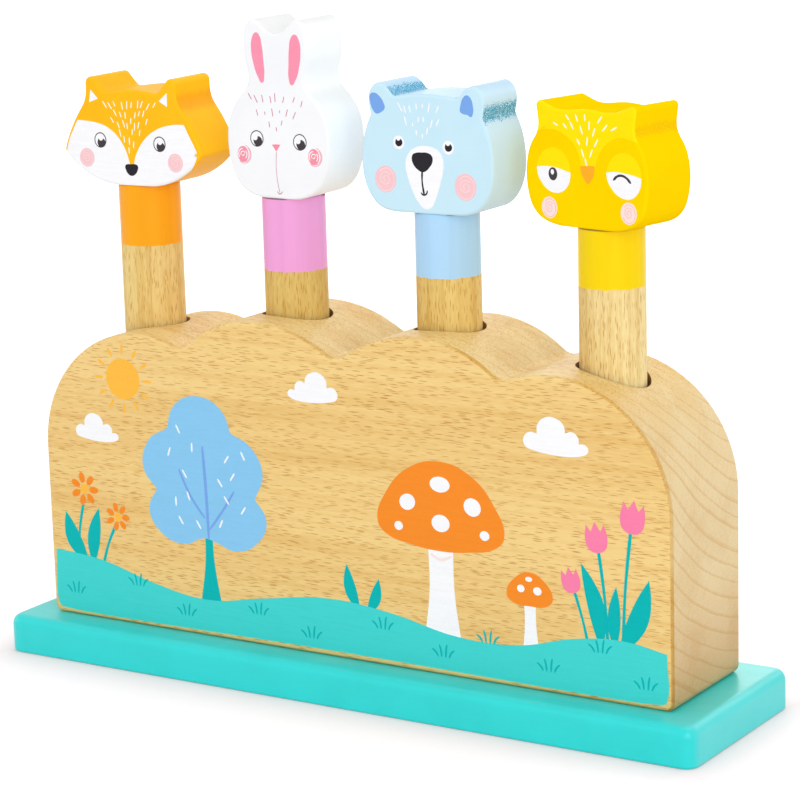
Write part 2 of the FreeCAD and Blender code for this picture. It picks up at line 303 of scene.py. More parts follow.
class Graph:
    """The nodes of one material."""

    def __init__(self, name: str) -> None:
        """Starts a material.

        Args:
            name: The material's name.
        """
        self.material = bpy.data.materials.new(name)
        self.material.use_nodes = True
        self.tree = self.material.node_tree
        self.shader = self.tree.nodes["Principled BSDF"]
        self.texture = self.tree.nodes.new("ShaderNodeTexCoord")

    def put(self, value: Value | Shade, socket: Socket) -> None:
        """Links an output to a socket, or sets the socket's value.

        Args:
            value: An output socket, a number or a colour.
            socket: The input socket.
        """
        if isinstance(value, Socket):
            self.tree.links.new(value, socket)
        else:
            socket.default_value = (*value, 1.0) if isinstance(value, tuple) else value

    def node(self, kind: str, *values: Value | Shade) -> bpy.types.Node:
        """A new node with its first inputs filled.

        Args:
            kind: Its type, without the prefix that all have.
            *values: What goes into its inputs, in their order.

        Returns:
            The node.
        """
        node = self.tree.nodes.new("ShaderNode" + kind)
        for value, socket in zip(values, node.inputs):
            self.put(value, socket)
        return node

    def maths(self, operation: str, a: Value, b: Value = 0.0, c: Value = 0.0) -> Socket:
        """A sum of a Math node.

        Args:
            operation: The node's operation.
            a: Its first number.
            b: Its second number.
            c: Its third number.

        Returns:
            The result.
        """
        node = self.node("Math", a, b, c)
        node.operation = operation
        return node.outputs[0]

    def plus(self, a: Value, b: Value) -> Socket:
        """The sum of two numbers."""
        return self.maths("ADD", a, b)

    def minus(self, a: Value, b: Value) -> Socket:
        """The difference of two numbers."""
        return self.maths("SUBTRACT", a, b)

    def times(self, a: Value, b: Value) -> Socket:
        """The product of two numbers."""
        return self.maths("MULTIPLY", a, b)

    def line(self, value: Value, slope: float, start: float) -> Socket:
        """A number times a slope, plus a start."""
        return self.maths("MULTIPLY_ADD", value, slope, start)

    def reach(self, a: Value, b: Value) -> Socket:
        """The length of the hypotenuse over two sides."""
        return self.maths("SQRT", self.plus(self.times(a, a), self.times(b, b)))

    def parts(self, vector: Socket) -> tuple[Socket, Socket, Socket]:
        """The three numbers of a vector."""
        x, y, z = self.node("SeparateXYZ", vector).outputs
        return x, y, z

    def stretched(self, place: Sequence[Value], scales: Sequence[float]) -> Socket:
        """A vector of three numbers, each times a scale of its own.

        Args:
            place: The numbers.
            scales: The scales.

        Returns:
            The vector.
        """
        scaled = [self.times(value, scale) for value, scale in zip(place, scales)]
        return self.node("CombineXYZ", *scaled).outputs[0]

    @cached_property
    def place(self) -> tuple[Socket, Socket, Socket]:
        """The place on the object.

        Returns:
            Its three numbers, in millimetres.
        """
        node = self.node("VectorMath", self.texture.outputs["Object"])
        node.operation = "SCALE"
        node.inputs["Scale"].default_value = 1 / MM
        return self.parts(node.outputs[0])

    @cached_property
    def normal(self) -> tuple[Socket, Socket, Socket]:
        """The way the surface faces."""
        return self.parts(self.texture.outputs["Normal"])

    def noise(self, place: Sequence[Value], weave: Weave) -> Socket:
        """Noise at a place.

        Args:
            place: Three numbers, in millimetres.
            weave: How the noise is stretched.

        Returns:
            A number from 0 to 1.
        """
        node = self.node("TexNoise", self.stretched(place, weave.scales))
        for name, value in (("Scale", 1.0), ("Detail", weave.detail),
                            ("Roughness", weave.roughness)):
            node.inputs[name].default_value = value
        return node.outputs["Fac"]

    def cells(self, place: Sequence[Value], scales: Sequence[float]) -> Socket:
        """Distance to the nearest of scattered points.

        Args:
            place: Three numbers, in millimetres.
            scales: How many points there are in a millimetre along each.

        Returns:
            The distance, in steps from point to point.
        """
        node = self.node("TexVoronoi", self.stretched(place, scales))
        node.inputs["Scale"].default_value = 1.0
        return node.outputs["Distance"]

    def between(self, value: Value, low: float, high: float, start: float = 0.0,
                end: float = 1.0) -> Socket:
        """A value eased from one range into another, and held at its ends.

        Args:
            value: The value.
            low: What becomes the start.
            high: What becomes the end.
            start: Where the new range starts.
            end: Where the new range ends.

        Returns:
            The value in the new range.
        """
        node = self.node("MapRange", value, low, high, start, end)
        node.interpolation_type = "SMOOTHSTEP"
        return node.outputs[0]

    def mix(self, share: Value, first: Shade, second: Shade, kind: str = "MIX") -> Socket:
        """Two colours mixed.

        Args:
            share: How much of the second shows, from 0 to 1.
            first: The first colour.
            second: The second colour.
            kind: How the second goes over the first.

        Returns:
            The mixed colour.
        """
        node = self.node("Mix", share)
        node.data_type = "RGBA"
        node.blend_type = kind
        colours = [socket for socket in node.inputs if socket.type == "RGBA"]
        for value, socket in zip((first, second), colours):
            self.put(value, socket)
        return [socket for socket in node.outputs if socket.type == "RGBA"][0]

    def tint(self, share: Value, colour: Shade, tint: Shade) -> Socket:
        """A colour that is tinted in places.

        Args:
            share: How much of the tint shows, from 0 to 1.
            colour: The colour.
            tint: What it is multiplied by.

        Returns:
            The tinted colour.
        """
        return self.mix(share, colour, self.mix(1.0, colour, tint, "MULTIPLY"))

    def bump(self, height: Socket, depth: float, strength: float) -> None:
        """Feeds a height to the shader's normal.

        Args:
            height: The height, from 0 to 1.
            depth: What 1 stands for, in millimetres.
            strength: Share of the bump that shows.
        """
        node = self.node("Bump")
        node.inputs["Distance"].default_value = depth * MM
        node.inputs["Strength"].default_value = strength
        self.put(height, node.inputs["Height"])
        self.put(node.outputs[0], self.shader.inputs["Normal"])

    def finish(self, colour: Shade, rough: Value, gloss: float = 0.5,
               metal: float = 0.0) -> bpy.types.Material:
        """Feeds the rest of the shader.

        Args:
            colour: Of the surface.
            rough: Its roughness.
            gloss: How strongly it reflects.
            metal: 1 for bare metal.

        Returns:
            The material.
        """
        for name, value in (("Base Color", colour), ("Roughness", rough),
                            ("Specular IOR Level", gloss), ("Metallic", metal)):
            self.put(value, self.shader.inputs[name])
        return self.material


# ---------------------------------------------------------------- finishes
class Grain(Enum):
    """Which way a piece's fibres run."""

    ALONG_X = "x"
    ALONG_Z = "z"


@dataclass(frozen=True)
class Timber:
    """Beech under clear varnish, solid all through.

    Attributes:
        name: The material's name.
        grain: Which way its fibres run.
        pith: Millimetres across the grain to the heart of the tree.
        ring: Millimetres from ring to ring.
        pale: Lightest wood.
        deep: Darkest broad bands.
        fleck: The short dark dashes along the grain.
        end: Tint of end grain.
        fleck_length: Millimetres from dash to dash.
        figure: How strongly bands and fibres show.
        gloss: How strongly it reflects.
    """

    name: str
    grain: Grain
    pith: Point
    ring: float = 4.2
    pale: Colour = (0.862, 0.614, 0.246)
    deep: Colour = (0.760, 0.470, 0.150)
    fleck: Colour = (0.510, 0.225, 0.032)
    end: Colour = (0.90, 0.985, 1.36)
    fleck_length: float = 6.8
    figure: float = 1.0
    gloss: float = 0.20

    # Each weave runs along the grain first, and then across it twice.
    WARP: ClassVar[Weave] = Weave((0.006, 0.03, 0.03))
    WANDER: ClassVar[Weave] = Weave((0.10, 0.0, 0.0), 1.0)
    BROAD: ClassVar[Weave] = Weave((0.004, 0.05, 0.05), 3.0)
    STREAK: ClassVar[Weave] = Weave((0.008, 0.42, 0.42), 3.0)
    FIBRE: ClassVar[Weave] = Weave((0.14, 1.5, 1.5), 3.0, 0.6)
    CROWD: ClassVar[Weave] = Weave((0.02, 0.08, 0.08), 1.0)
    # Each range is eased into another one: from, to, and what these two become.
    END_GRAIN: ClassVar[Point] = (0.25, 0.98)
    LATE_WOOD: ClassVar[Point] = (0.72, 0.965)
    NEXT_RING: ClassVar[Point] = (1.0, 0.98)
    BROAD_TONE: ClassVar[Range] = (0.34, 0.74, 0.0, 0.55)
    STREAK_TONE: ClassVar[Range] = (0.40, 0.72, -0.10, 0.42)
    FLECK_EDGE: ClassVar[Point] = (0.36, 0.18)
    CROWD_SHARE: ClassVar[Range] = (0.30, 0.62, 0.62, 0.85)
    ROUGHNESS: ClassVar[Range] = (0.2, 0.8, 0.38, 0.52)
    FLECKS_ACROSS: ClassVar[float] = 2.0
    WARP_DEPTH: ClassVar[float] = 4.0
    WANDER_DEPTH: ClassVar[float] = 1.6
    FIBRE_DEPTH: ClassVar[float] = 1.45
    RELIEF: ClassVar[float] = 0.12

    def rings(self, g: Graph, fibres: Sequence[Value], end: Socket) -> Socket:
        """The dark lines of the year rings, clearest on end grain.

        Args:
            g: The material's nodes.
            fibres: The place along the grain, and across it from the pith.
            end: 1 on end grain, 0 on long grain.

        Returns:
            How much darker the wood is.
        """
        radius = g.plus(g.reach(fibres[1], fibres[2]),
                        g.times(g.noise(fibres, self.WARP), self.WARP_DEPTH))
        wander = g.times(g.noise((radius, 0.0, 0.0), self.WANDER), self.WANDER_DEPTH)
        ring = g.maths("FRACT", g.plus(g.maths("DIVIDE", radius, self.ring), wander))
        late = g.times(g.between(ring, *self.LATE_WOOD), g.between(ring, *self.NEXT_RING))
        return g.times(late, g.line(end, 0.60, 0.18))

    def bands(self, g: Graph, fibres: Sequence[Value], end: Socket, fibre: Socket) -> Socket:
        """The broad bands, the streaks and the single fibres.

        Args:
            g: The material's nodes.
            fibres: The place along the grain, and across it from the pith.
            end: 1 on end grain, 0 on long grain.
            fibre: The noise of the single fibres.

        Returns:
            How much darker the wood is.
        """
        broad = g.between(g.noise(fibres, self.BROAD), *self.BROAD_TONE)
        streak = g.between(g.noise(fibres, self.STREAK), *self.STREAK_TONE)
        fine = g.line(fibre, self.FIBRE_DEPTH, -self.FIBRE_DEPTH / 2)
        tone = g.plus(g.plus(broad, g.times(streak, g.line(end, -0.8, 1.0))), fine)
        return g.times(tone, self.figure)

    def flecks(self, g: Graph, fibres: Sequence[Value], end: Socket) -> Socket:
        """The short dark dashes along the grain, in looser and denser crowds.

        Args:
            g: The material's nodes.
            fibres: The place along the grain, and across it from the pith.
            end: 1 on end grain, 0 on long grain.

        Returns:
            1 in the middle of a dash, 0 beside it.
        """
        cell = g.cells(fibres, (1 / self.fleck_length, self.FLECKS_ACROSS, self.FLECKS_ACROSS))
        crowd = g.between(g.noise(fibres, self.CROWD), *self.CROWD_SHARE)
        return g.times(g.times(g.between(cell, *self.FLECK_EDGE), crowd),
                       g.line(end, -0.75, 1.0))

    def worked(self, g: Graph, tone: Socket, end: Socket) -> Socket:
        """The tone with what the tools left in the wood, which is nothing here.

        Args:
            g: The material's nodes.
            tone: How dark the wood is.
            end: 1 on end grain, 0 on long grain.

        Returns:
            The new tone.
        """
        return tone

    def tinted_and_shaded(self, g: Graph, colour: Socket, end: Socket) -> Socket:
        """The colour with the piece's own tints and painted shade, of which there are none here.

        Args:
            g: The material's nodes.
            colour: The wood's colour.
            end: 1 on end grain, 0 on long grain.

        Returns:
            The new colour.
        """
        return colour

    def coated(self, g: Graph, colour: Socket, rough: Socket,
               height: Socket) -> tuple[Socket, Socket, Socket]:
        """The surface with the paint on it, which is none here.

        Args:
            g: The material's nodes.
            colour: The wood's colour.
            rough: Its roughness.
            height: Its relief.

        Returns:
            The new colour, roughness and relief.
        """
        return colour, rough, height

    def make(self) -> bpy.types.Material:
        """Builds the material.

        Returns:
            The material.
        """
        g = Graph(self.name)
        x, y, z = g.place
        nx, _, nz = g.normal
        along, a, b, facing = (x, y, z, nx) if self.grain is Grain.ALONG_X else (z, x, y, nz)
        fibres = (along, g.minus(a, self.pith[0]), g.minus(b, self.pith[1]))
        end = g.between(g.maths("ABSOLUTE", facing), *self.END_GRAIN)
        fibre = g.noise(fibres, self.FIBRE)
        spots = self.flecks(g, fibres, end)
        tone = g.plus(self.rings(g, fibres, end), self.bands(g, fibres, end, fibre))
        colour = g.mix(self.worked(g, tone, end), self.pale, self.deep)
        colour = g.tint(end, g.mix(spots, colour, self.fleck), self.end)
        colour, rough, height = self.coated(g, self.tinted_and_shaded(g, colour, end),
                                            g.between(fibre, *self.ROUGHNESS),
                                            g.minus(fibre, g.times(spots, 0.8)))
        g.bump(height, self.RELIEF, 0.5)
        return g.finish(colour, rough, self.gloss)


@dataclass(frozen=True)
class BlockTimber(Timber):
    """The block's beech, with saw marks, tints, painted light and shade, and painted shade on the
    walls of its bores.

    Attributes:
        low: Painted shade near its foot, strongest on end grain, warm against the board's green
            bounce light.
        top_light_tint: Painted light: a tint where it faces up, for how the light falls on the
            tops.
        blotch: Painted sheen: tint of the darker mottled blotches there.
        right_edge: Tint of the rounded front edge where it faces the right end, in patches.
        under: Painted light: a warmer tint of the rounded front edge where it faces down, against
            the green light the board bounces onto it.
        bore_shade: Painted shade: the dark colour of the bores' walls.
        bore: Radius of the bores, in millimetres.
    """

    low: Colour = (0.80, 0.66, 0.56)
    top_light_tint: Colour = (0.965, 1.005, 1.05)
    blotch: Colour = (0.97, 0.90, 0.78)
    right_edge: Colour = (0.74, 0.60, 0.32)
    under: Colour = (1.12, 0.82, 0.72)
    bore_shade: Colour = (0.23, 0.10, 0.035)
    bore: float = 13.5

    SAW: ClassVar[Weave] = Weave((0.05, 1.3, 0.0))
    BLOTCH: ClassVar[Weave] = Weave((0.030, 0.050, 0.030))
    PATCHY: ClassVar[Weave] = Weave((0.04, 0.04, 0.0))
    LOW_DOWN: ClassVar[Point] = (62.0, 12.0)
    FACING_UP: ClassVar[Point] = (0.35, 0.75)
    BLOTCHED: ClassVar[Point] = (0.50, 0.66)
    RIM_OUTSIDE: ClassVar[Point] = (0.16, 0.42)
    RIM_INSIDE: ClassVar[Point] = (0.985, 0.86)
    PATCHY_SHARE: ClassVar[Range] = (0.36, 0.62, 0.60, 1.0)
    FACING_RIGHT: ClassVar[Point] = (0.02, 0.34)
    FACING_DOWN: ClassVar[Point] = (-0.15, -0.55)
    UPRIGHT: ClassVar[Point] = (0.8, 0.3)
    BORE_SHADE_SHARE: ClassVar[float] = 0.75

    def worked(self, g: Graph, tone: Socket, end: Socket) -> Socket:
        """The tone with the slanting marks that the saw left on end grain.

        Args:
            g: The material's nodes.
            tone: How dark the wood is.
            end: 1 on end grain, 0 on long grain.

        Returns:
            The new tone.
        """
        _, y, z = g.place
        saw = g.noise((g.plus(y, z), g.minus(z, y), 0.0), self.SAW)
        return g.plus(tone, g.times(g.minus(saw, 0.5), end))

    def tinted_and_shaded(self, g: Graph, colour: Socket, end: Socket) -> Socket:
        """The colour with its tints, its painted light and shade, and the painted shade on the
        walls of the bores.

        Args:
            g: The material's nodes.
            colour: The wood's colour.
            end: 1 on end grain, 0 on long grain.

        Returns:
            The new colour.
        """
        x, y, z = g.place
        nx, ny, nz = g.normal
        # Painted shade: darker and warmer low on the block, most on end grain.
        foot = g.times(g.between(z, *self.LOW_DOWN), g.line(end, 0.85, 0.15))
        # Painted light on the tops: faces that look up get a tint of their own.
        up = g.between(nz, *self.FACING_UP)
        # Painted sheen: darker mottled blotches on the faces that look up only.
        blotch = g.times(g.between(g.noise(g.place, self.BLOTCH), *self.BLOTCHED), up)
        front = g.times(ny, -1.0)
        rim = g.times(g.between(front, *self.RIM_OUTSIDE), g.between(front, *self.RIM_INSIDE))
        # The rounded front edge turns darker in patches where it faces the right end.
        patchy = g.between(g.noise((x, z, 0.0), self.PATCHY), *self.PATCHY_SHARE)
        right_edge = g.times(g.times(rim, g.between(nx, *self.FACING_RIGHT)), patchy)
        # Painted light: the downward rounded front edge is warmed against the board's green bounce
        # light.
        under = g.times(rim, g.between(nz, *self.FACING_DOWN))
        for share, tint in ((foot, self.low), (up, self.top_light_tint), (blotch, self.blotch),
                            (right_edge, self.right_edge), (under, self.under)):
            colour = g.tint(share, colour, tint)
        # Painted shade: the walls of the bores are darkened.
        nearest = g.minus(g.maths("FLOORED_MODULO", x, PEG_PITCH), PEG_PITCH / 2)
        inside = g.times(g.between(g.reach(nearest, y), self.bore + 0.5, self.bore + 0.2),
                         g.between(g.maths("ABSOLUTE", nz), *self.UPRIGHT))
        return g.mix(g.times(inside, self.BORE_SHADE_SHARE), colour, self.bore_shade)


@dataclass(frozen=True)
class Band:
    """Paint on the upper end of a peg.

    Attributes:
        foot: Height of its lower edge, in millimetres.
        colour: The paint.
        head: Height of the peg's top, under which a painted shadow shows here and there.
        seam: Colour of the painted shadow under the head.
    """

    foot: float
    colour: Colour
    head: float
    seam: Colour = (0.16, 0.09, 0.05)


@dataclass(frozen=True)
class PegTimber(Timber):
    """A peg's beech, with paint on its upper end.

    Attributes:
        band: The paint.
    """

    band: Band = field(kw_only=True)

    WAVE: ClassVar[Weave] = Weave((0.35, 0.35, 0.0), 1.0)
    BRUSHED: ClassVar[Weave] = Weave((0.20, 0.20, 0.006), 3.0)
    LOOSE: ClassVar[Weave] = Weave((0.06, 0.06, 0.0), 0.0)
    BRUSH_MARKS: ClassVar[Point] = (0.36, 0.66)
    HEAD_SHADOW_PLACES: ClassVar[Point] = (0.46, 0.54)
    HEAD_SHADOW_DEPTHS: ClassVar[Point] = (-0.9, -0.5)
    HEAD_SHADOW_SHARE: ClassVar[float] = 0.7
    EDGE_WAVE: ClassVar[float] = 0.9
    EDGE_BLUR: ClassVar[float] = 0.12

    def coated(self, g: Graph, colour: Socket, rough: Socket,
               height: Socket) -> tuple[Socket, Socket, Socket]:
        """The surface with the band of paint and a painted shadow under the head.

        Args:
            g: The material's nodes.
            colour: The wood's colour.
            rough: Its roughness.
            height: Its relief.

        Returns:
            The new colour, roughness and relief.
        """
        x, y, z = g.place
        wave = g.line(g.noise((x, y, 0.0), self.WAVE), self.EDGE_WAVE, -self.EDGE_WAVE / 2)
        above = g.plus(g.minus(z, self.band.foot), wave)
        paint = g.between(above, -self.EDGE_BLUR, self.EDGE_BLUR)
        brushed = g.between(g.noise(g.place, self.BRUSHED), *self.BRUSH_MARKS)
        tint = g.mix(brushed, self.band.colour, tinted(self.band.colour, (0.95,) * 3))
        # Painted shadow: a dark line here and there just under the head.
        loose = g.between(g.noise((x, y, 0.0), self.LOOSE), *self.HEAD_SHADOW_PLACES)
        seam = g.between(g.minus(z, self.band.head), *self.HEAD_SHADOW_DEPTHS, 0.0, self.HEAD_SHADOW_SHARE)
        tint = g.mix(g.times(seam, loose), tint, self.band.seam)
        return (g.mix(paint, colour, tint), g.minus(rough, g.times(paint, 0.14)),
                g.times(height, g.line(paint, -0.6, 1.0)))


@dataclass(frozen=True)
class Smudge:
    """A stained line across the thickness of a head, in a hollow of its outline.

    Attributes:
        place: Where it is in the outline, on both sides of the middle.
        reach: Millimetres from its middle to its edge.
        colour: The stain.
        strength: How much of it shows.
        speckle: Whether it breaks up into specks.
    """

    place: Point
    reach: float
    colour: Colour
    strength: float = 0.7
    speckle: bool = False


@dataclass(frozen=True)
class Paint:
    """Satin paint on wood.

    Attributes:
        name: The material's name.
        colour: The paint.
        shade: What it turns to where it lies thin.
        side: Painted light: a tint on the faces that look away from the printed face, standing in
            for how the light falls on them; on the board, a painted sheen.
        top: How much of that painted light shows where the wood faces up.
        roughness: Of the surface.
        gloss: How strongly it reflects.
        relief: How much of the wood's fibres shows through.
        smudges: Stains in the hollows.
        middle: Where the outline's middle is, (x, z), in millimetres.
        turn: Degrees by which the piece is turned about the upright axis.
    """

    name: str
    colour: Colour
    shade: Colour
    side: Colour = (1.0, 1.0, 1.0)
    top: float = 1.0
    roughness: float = 0.38
    gloss: float = 0.05
    relief: float = 0.35
    smudges: tuple[Smudge, ...] = ()
    middle: Point = (0.0, 0.0)
    turn: float = 0.0

    CLOUD: ClassVar[Weave] = Weave((0.05, 0.05, 0.05), 3.0)
    FIBRE: ClassVar[Weave] = Weave((0.06, 1.1, 1.1), 3.0, 0.6)
    RAGGED: ClassVar[Weave] = Weave((0.3, 0.3, 0.3))
    SPECKS: ClassVar[Weave] = Weave((2.7, 2.7, 2.7), 1.0)
    RAGGED_DEPTH: ClassVar[float] = 2.4
    THIN_TONE: ClassVar[Range] = (0.3, 0.75, 0.0, 0.5)
    FACING_AWAY: ClassVar[Point] = (-0.7, -0.2)
    FACING_UP: ClassVar[Point] = (0.3, 0.9)
    SPECK_EDGE: ClassVar[Point] = (0.585, 0.70)

    def stain(self, g: Graph, smudge: Smudge, u: Socket, v: Socket) -> Socket:
        """Where a smudge shows.

        Args:
            g: The material's nodes.
            smudge: The smudge.
            u: How far to the side of the outline's middle, in millimetres.
            v: How far above it.

        Returns:
            How much of the smudge shows, from 0 to 1.
        """
        apart = g.reach(g.minus(u, smudge.place[0]), g.minus(v, smudge.place[1]))
        ragged = g.line(g.noise(g.place, self.RAGGED), self.RAGGED_DEPTH, -self.RAGGED_DEPTH / 2)
        stain = g.between(g.plus(apart, ragged), smudge.reach, smudge.reach * 0.3)
        if smudge.speckle:
            specks = g.plus(g.noise(g.place, self.SPECKS), g.times(stain, 0.22))
            stain = g.times(g.between(stain, 0.0, 0.25), g.between(specks, *self.SPECK_EDGE))
        return g.times(stain, smudge.strength)

    def make(self) -> bpy.types.Material:
        """Builds the material.

        Returns:
            The material.
        """
        g = Graph(self.name)
        x, y, z = g.place
        _, ny, nz = g.normal
        cloud = g.noise(g.place, self.CLOUD)
        fibre = g.noise(g.place, self.FIBRE)
        thin = g.plus(g.between(cloud, *self.THIN_TONE), g.line(fibre, 0.35, -0.175))
        # Painted light: the sides and the top get a tint of their own for how the light falls
        # there.
        away = g.between(ny, *self.FACING_AWAY)
        level = g.between(nz, *self.FACING_UP, 1.0, self.top)
        colour = g.tint(away, g.mix(thin, self.colour, self.shade),
                        g.stretched((level,) * 3, self.side))
        c, s = math.cos(math.radians(self.turn)), math.sin(math.radians(self.turn))
        u = g.maths("ABSOLUTE", g.plus(g.times(g.minus(x, self.middle[0]), c), g.times(y, s)))
        v = g.minus(z, self.middle[1])
        for smudge in self.smudges:
            colour = g.mix(g.times(self.stain(g, smudge, u, v), away), colour, smudge.colour)
        g.bump(g.plus(fibre, g.times(cloud, 0.5)), 0.10, self.relief)
        rough = g.between(fibre, 0.2, 0.8, self.roughness - 0.05, self.roughness + 0.07)
        return g.finish(colour, rough, self.gloss)


@dataclass(frozen=True)
class Steel:
    """Plain metal.

    Attributes:
        name: The material's name.
        colour: The metal.
        roughness: Of the surface.
        spangle: Millimetres across its blotches.
    """

    name: str
    colour: Colour
    roughness: float = 0.35
    spangle: float = 1.5

    BLOTCHED: ClassVar[Point] = (0.3, 0.7)

    def make(self) -> bpy.types.Material:
        """Builds the material.

        Returns:
            The material.
        """
        g = Graph(self.name)
        blotch = g.noise(g.place, Weave((1 / self.spangle,) * 3))
        colour = g.mix(g.between(blotch, *self.BLOTCHED), self.colour,
                       tinted(self.colour, (0.8,) * 3))
        rough = g.between(blotch, *self.BLOTCHED, self.roughness - 0.06, self.roughness + 0.08)
        g.bump(blotch, 0.03, 0.3)
        return g.finish(colour, rough, metal=1.0)


class Ink(Enum):
    """The printed colours, each a name and a colour."""

    WHITE = ("ink_white", (0.93, 0.93, 0.96))
    CREAM = ("ink_cream", (0.95, 0.93, 0.82))
    BLACK = ("ink_black", (0.024, 0.022, 0.028))
    SOOT = ("ink_soot", (0.060, 0.048, 0.054))
    PINK = ("ink_pink", (0.92, 0.57, 0.61))
    PALE_PINK = ("ink_pale_pink", (0.95, 0.75, 0.72))
    ROSE = ("ink_rose", (0.62, 0.20, 0.29))
    ROUGE = ("ink_rouge", (0.90, 0.29, 0.38))
    BLUSH = ("ink_blush", (0.95, 0.50, 0.42))
    EAR_PINK = ("ink_ear_pink", (0.94, 0.30, 0.43))
    SKY_BLUE = ("ink_sky_blue", (0.25, 0.57, 0.86))
    MID_BLUE = ("ink_mid_blue", (0.19, 0.38, 0.80))
    LEMON = ("ink_lemon", (1.0, 0.76, 0.0))
    BEAK = ("ink_beak", (0.98, 0.42, 0.02))
    TURQUOISE = ("ink_turquoise", (0.060, 0.66, 0.64))
    TEAL = ("ink_teal", (0.002, 0.46, 0.46))
    ORANGE = ("ink_orange", (0.92, 0.265, 0.024))
    MAUVE = ("ink_mauve", (0.93, 0.22, 0.40))
    SUN = ("ink_sun", (0.98, 0.50, 0.06))

    def make(self) -> bpy.types.Material:
        """Builds the ink's material once, and gives the same one after that.

        Returns:
            The material.
        """
        name, colour = self.value
        if name in bpy.data.materials:
            return bpy.data.materials[name]
        g = Graph(name)
        grain = g.noise(g.place, Weave((0.08, 1.0, 1.0), 3.0, 0.6))
        dots = g.noise(g.place, Weave((1.6, 1.6, 1.6), 1.0))
        share = g.plus(g.times(g.between(grain, 0.3, 0.8), 0.6),
                       g.times(g.between(dots, 0.4, 0.8), 0.4))
        g.bump(grain, 0.06, 0.35)
        return g.finish(g.mix(share, colour, tinted(colour, (0.93,) * 3)),
                        g.between(grain, 0.2, 0.8, 0.40, 0.50), 0.06)


# ---------------------------------------------------------------- modelling helpers
def deselect() -> None:
    """Leaves nothing selected, in object mode."""
    if bpy.context.object is not None and bpy.context.object.mode != "OBJECT":
        bpy.ops.object.mode_set(mode="OBJECT")
    bpy.ops.object.select_all(action="DESELECT")


def pick(piece: bpy.types.Object) -> None:
    """Selects one object and makes it the active one.

    Args:
        piece: The object.
    """
    deselect()
    piece.select_set(True)
    bpy.context.view_layer.objects.active = piece


def dress(piece: bpy.types.Object, material: bpy.types.Material) -> None:
    """Gives a whole piece one material.

    Args:
        piece: The piece.
        material: Its material.
    """
    if not piece.material_slots:
        piece.data.materials.append(material)
    for slot in piece.material_slots:
        slot.material = material
    LOG.info("%s in %s", piece.name, material.name)


@dataclass(frozen=True)
class Film:
    """A thin printed layer on a flat face.

    Attributes:
        name: Name of its object, after the name of what it is printed on.
        ink: Its colour.
        outlines: Its shapes, which don't overlap.
        layer: 0 on the wood, 1 on that, and so on.
        over: A node whose rounded edge it follows, or nothing for a flat one.
    """

    name: str
    ink: Ink
    outlines: Sequence[Outline]
    layer: int = 0
    over: str | None = None

    # In millimetres: into the wood, up from layer to layer, and round an edge.
    SINK: ClassVar[float] = 0.02
    RISE: ClassVar[float] = 0.03
    WRAP: ClassVar[float] = 0.9
    SHARP: ClassVar[float] = math.radians(40)
    CURVE_STEPS: ClassVar[int] = 6

    def draw(self, name: str) -> bpy.types.Object:
        """Draws the outlines and fills them.

        Args:
            name: Name of the new object.

        Returns:
            The flat film.
        """
        deselect()
        bpy.ops.curve.primitive_bezier_circle_add(radius=MM)
        bpy.context.object.name = name
        curve = bpy.context.object.data
        curve.splines.clear()
        curve.dimensions = "2D"
        curve.fill_mode = "BOTH"
        curve.resolution_u = self.CURVE_STEPS
        for outline in self.outlines:
            spline = curve.splines.new("BEZIER")
            spline.bezier_points.add(len(outline.points) - 1)
            for i, (point, knot) in enumerate(zip(outline.points, spline.bezier_points)):
                knot.co = (point[0] * MM, point[1] * MM, 0)
                kind = "VECTOR" if i in outline.corners else "AUTO"
                knot.handle_left_type = knot.handle_right_type = kind
            spline.use_cyclic_u = True
        bpy.ops.object.convert(target="MESH")
        return bpy.context.object

    def build(self, place: Matrix, owner: str) -> bpy.types.Object:
        """Cuts the film out and lays it on its face.

        Args:
            place: From the flat drawing to the face, with the drawing's Z outwards.
            owner: Name of what it is printed on.

        Returns:
            The film's object.
        """
        film = self.draw(f"{owner}_{self.name}")
        rise = (self.layer + 1) * self.RISE
        foot, head = (-self.SINK, rise) if self.over is None else (-self.WRAP, self.WRAP)
        bpy.ops.object.mode_set(mode="EDIT")
        bpy.ops.mesh.select_all(action="SELECT")
        bpy.ops.mesh.remove_doubles(threshold=MERGE)
        bpy.ops.transform.translate(value=(0, 0, foot * MM))
        bpy.ops.mesh.extrude_region_move(
            TRANSFORM_OT_translate={"value": (0, 0, (head - foot) * MM)})
        bpy.ops.mesh.select_all(action="SELECT")
        bpy.ops.mesh.normals_make_consistent(inside=False)
        bpy.ops.object.mode_set(mode="OBJECT")
        film.matrix_world = place
        bpy.ops.object.transform_apply(location=True, rotation=True, scale=True)
        if self.over is not None:
            self.follow(film, rise)
        dress(film, self.ink.make())
        return film

    def follow(self, film: bpy.types.Object, rise: float) -> None:
        """Trims a thick film to a skin that follows the node's rounded edge.

        Args:
            film: The film, cut out and in place.
            rise: Millimetres by which it stands off the node.
        """
        skin = bpy.data.objects[self.over].copy()
        skin.data = skin.data.copy()
        bpy.context.scene.collection.objects.link(skin)
        pick(skin)
        bpy.ops.object.mode_set(mode="EDIT")
        bpy.ops.mesh.select_all(action="SELECT")
        bpy.ops.mesh.remove_doubles(threshold=MERGE)
        bpy.ops.object.mode_set(mode="OBJECT")
        swell = skin.modifiers.new("swell", "DISPLACE")
        swell.strength = rise * MM
        swell.mid_level = 0.0
        bpy.ops.object.modifier_apply(modifier=swell.name)
        pick(film)
        trim = film.modifiers.new("trim", "BOOLEAN")
        trim.operation = "INTERSECT"
        trim.solver = "EXACT"
        trim.object = skin
        bpy.ops.object.modifier_apply(modifier=trim.name)
        bpy.data.objects.remove(skin)
        bpy.ops.object.shade_smooth_by_angle(angle=self.SHARP)
        even = film.modifiers.new("even", "WEIGHTED_NORMAL")
        even.keep_sharp = True
        even.weight = 100
        bpy.ops.object.modifier_apply(modifier=even.name)


